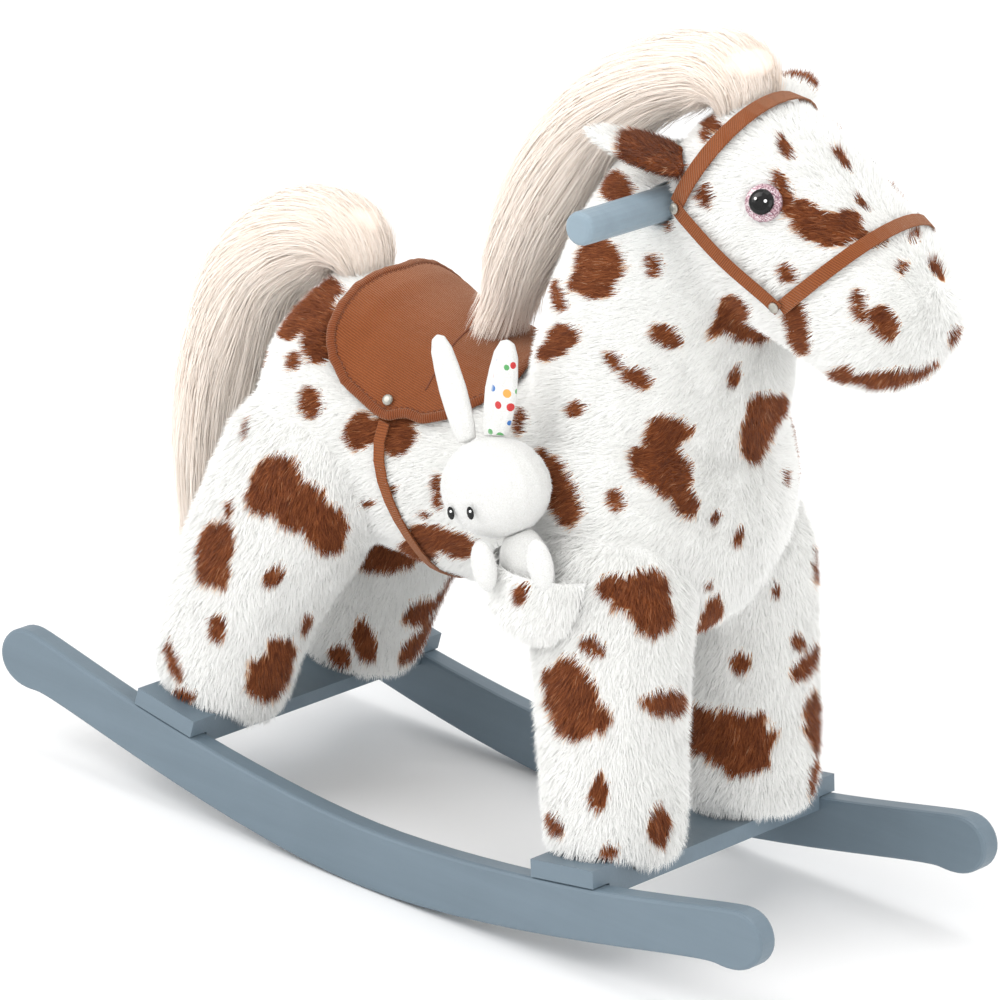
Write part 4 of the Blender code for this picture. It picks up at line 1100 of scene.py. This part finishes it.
def make_eyes():
    glitter = glitter_material()
    black = speckled_material("eye_black", 0.16, 300.0, grey(0.004), grey(0.012), 0.3, top=0.8)
    white = glint_material()
    for hand in HANDS:
        dress(NODES[f"eye_ring_{hand}"], glitter)
        pupil = dress(NODES[f"eye_pupil_{hand}"], black)
        points, normals = points_of(pupil.data), normals_of(pupil.data)
        side = -1.0 if hand == "right" else 1.0
        out = unit(np.array((0.35, side * 0.85, 0.35)))
        level = unit(np.cross(out, Z_AXIS)) * -side
        # Each pupil gets two white domes: painted reflections.
        for index, (along, up, radius) in enumerate(EYE_PAINTED_REFLECTIONS):
            wanted = points.mean(axis=0) + level * along + Z_AXIS * up + out * 0.004
            spot = np.linalg.norm(points - wanted, axis=1).argmin()
            centre = points[spot] * 0.3 + (wanted - out * 0.0016) * 0.7
            dot_on(
                f"eye_glint_{hand}_{index + 1}", centre, normals[spot], (radius, radius, 0.0005),
                "horse", white,
            )


def make_bunny():
    """The toy rabbit: smooth short fleece, printed ears and oval eyes."""
    fleece = fleece_material()
    printed = fleece_material("bunny_ear_print", confetti=True)
    black, white = NODES["eye_pupil_right"].data.materials[0], glint_material()
    fuzz = strand_material("bunny_fuzz", ((0.0, grey(0.82)), (1.0, (0.90, 0.90, 0.885))), 0.9)
    rng = np.random.default_rng(SEED + 9)
    for part in ("head", "body", "arm_right", "arm_left", "ear_right", "ear_left"):
        node = f"bunny_{part}"
        voxel = 0.0012 if part in ("head", "body") else 0.0009
        form = soft_form(f"{node}_fleece", (node,), voxel, rounds=3, sink=0.0003)
        ear = "ear" in node
        place(form, "bunny", printed if ear else fleece)
        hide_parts(node)
        normals = normals_of(form.data)
        if ear:
            front = normals @ unit(np.array((0.62, -0.72, 0.30)))
            share = 1.0 if node == "bunny_ear_left" else 0.0
            set_floats(form.data, "print", np.clip((front - 0.55) * 6, 0, 1) * share)
            continue
        roots, out = scatter(form, 700_000, rng)
        made = fur(
            f"fur_{node}", roots, out, np.array((-0.2, 0.0, -1.0)), np.zeros(len(roots)),
            0.0016, 0.00045, fuzz, rng, 0.7,
        )
        place(made, "bunny")
    for hand in HANDS:
        dress(NODES[f"bunny_eye_{hand}"], black)
        centre = box_middle(f"bunny_eye_{hand}") + (0.0006, -0.0011, 0.0016)
        dot_on(
            f"bunny_eye_glint_{hand}", centre,
            (0.2, -0.95, 0.2), (0.0009, 0.0009, 0.0004), "bunny", white,
        )


# ---- base and inside


def make_wood_and_metal():
    pine, steel = bare_wood_material(), steel_material()
    paint = paint_material("blue_grey_paint", (0.142, 0.192, 0.232), (0.160, 0.213, 0.257))
    # The handle's paint is a lighter copy of the rockers' paint: painted light for the brighter light
    # on the handle's top.
    handle = paint_material("handle_paint_painted_light", (0.235, 0.308, 0.362), (0.262, 0.343, 0.404))
    for name, obj in NODES.items():
        if name.startswith(("rocker_right", "rocker_left", "cross_member")):
            dress(obj, paint, 0.0022, 3)
        elif name == "handle_bar":
            dress(obj, handle, 0.0065, 5)
        elif "screw" in name or "rivet" in name:
            dress(obj, steel)
        elif name in FRAME_INSIDE:
            dress(obj, pine, 0.001)


# ---- camera and light


def make_camera():
    data = bpy.data.cameras.new("camera")
    data.lens = CAMERA_LENS_MM
    data.sensor_width = 36.0
    data.shift_x, data.shift_y = CAMERA_SHIFT
    data.clip_end = 50.0
    camera = add_object("camera", data)
    turn, tip, roll = (
        math.radians(angle) for angle in (CAMERA_AZIMUTH, CAMERA_ELEVATION, CAMERA_ROLL)
    )
    back = Vector((math.sin(turn) * math.cos(tip), -math.cos(turn) * math.cos(tip), math.sin(tip)))
    right = Vector((math.cos(turn), math.sin(turn), 0.0))
    up = back.cross(right)
    across = right * math.cos(roll) + up * math.sin(roll)
    upward = up * math.cos(roll) - right * math.sin(roll)
    turned = Matrix((across, upward, back)).transposed().to_4x4()
    where = Vector(CAMERA_TARGET) + back * CAMERA_DISTANCE
    camera.matrix_world = Matrix.Translation(where) @ turned
    bpy.context.scene.camera = camera


def add_light(name, place_at, aim, size, power):
    data = bpy.data.lights.new(name, "AREA")
    data.size = size
    data.energy = power
    light = add_object(name, data)
    light.location = place_at
    light.rotation_mode = "QUATERNION"
    light.rotation_quaternion = (Vector(aim) - Vector(place_at)).to_track_quat("-Z", "Y")


def make_studio():
    mesh = bpy.data.meshes.new("studio_floor")
    corners = ((-14.0, -14.0), (14.0, -14.0), (14.0, 14.0), (-14.0, 14.0))
    mesh.from_pydata([(x, y, -0.0004) for x, y in corners], [], [(0, 1, 2, 3)])
    floor = add_object("studio_floor", mesh)
    mesh.materials.append(speckled_material("pale_floor", 0.9, 3.0, grey(0.90), grey(0.92)))
    world = bpy.data.worlds.new("studio")
    world.use_nodes = True
    sky = world.node_tree.nodes["Background"]
    sky.inputs["Color"].default_value = (1.0, 1.0, 1.0, 1.0)
    sky.inputs["Strength"].default_value = 0.95
    bpy.context.scene.world = world
    add_light("key", (-1.6, -2.6, 2.6), (0.0, 0.0, 0.3), 2.2, 64.0)
    add_light("top", (0.4, 0.3, 3.0), (0.0, 0.0, 0.2), 2.0, 24.0)
    add_light("fill", (3.0, -1.4, 1.4), (0.0, 0.0, 0.3), 1.8, 20.0)
    bpy.context.scene.view_settings.view_transform = "Standard"


# ---- the whole horse

coat_fur = strand_material("spotted_fur", COAT_STOPS, 0.94)
hair = strand_material("cream_hair", HAIR_STOPS, 0.98, 0.7)
hair_core = hair_core_material()
make_coat(coat_fur)
make_ear("right", coat_fur)
make_ear("left", coat_fur)
make_pocket(coat_fur)
make_lock("mane_hair", "mane", "horse", MANE_LINE, 21500, (0.20, 0.38), 0.6, hair, hair_core)
make_lock("tail_hair", "tail", "tail", TAIL_LINE, 22000, (0.20, 0.40), 0.4, hair, hair_core)
make_saddle()
make_straps()
make_eyes()
make_bunny()
make_wood_and_metal()
make_studio()
make_camera()
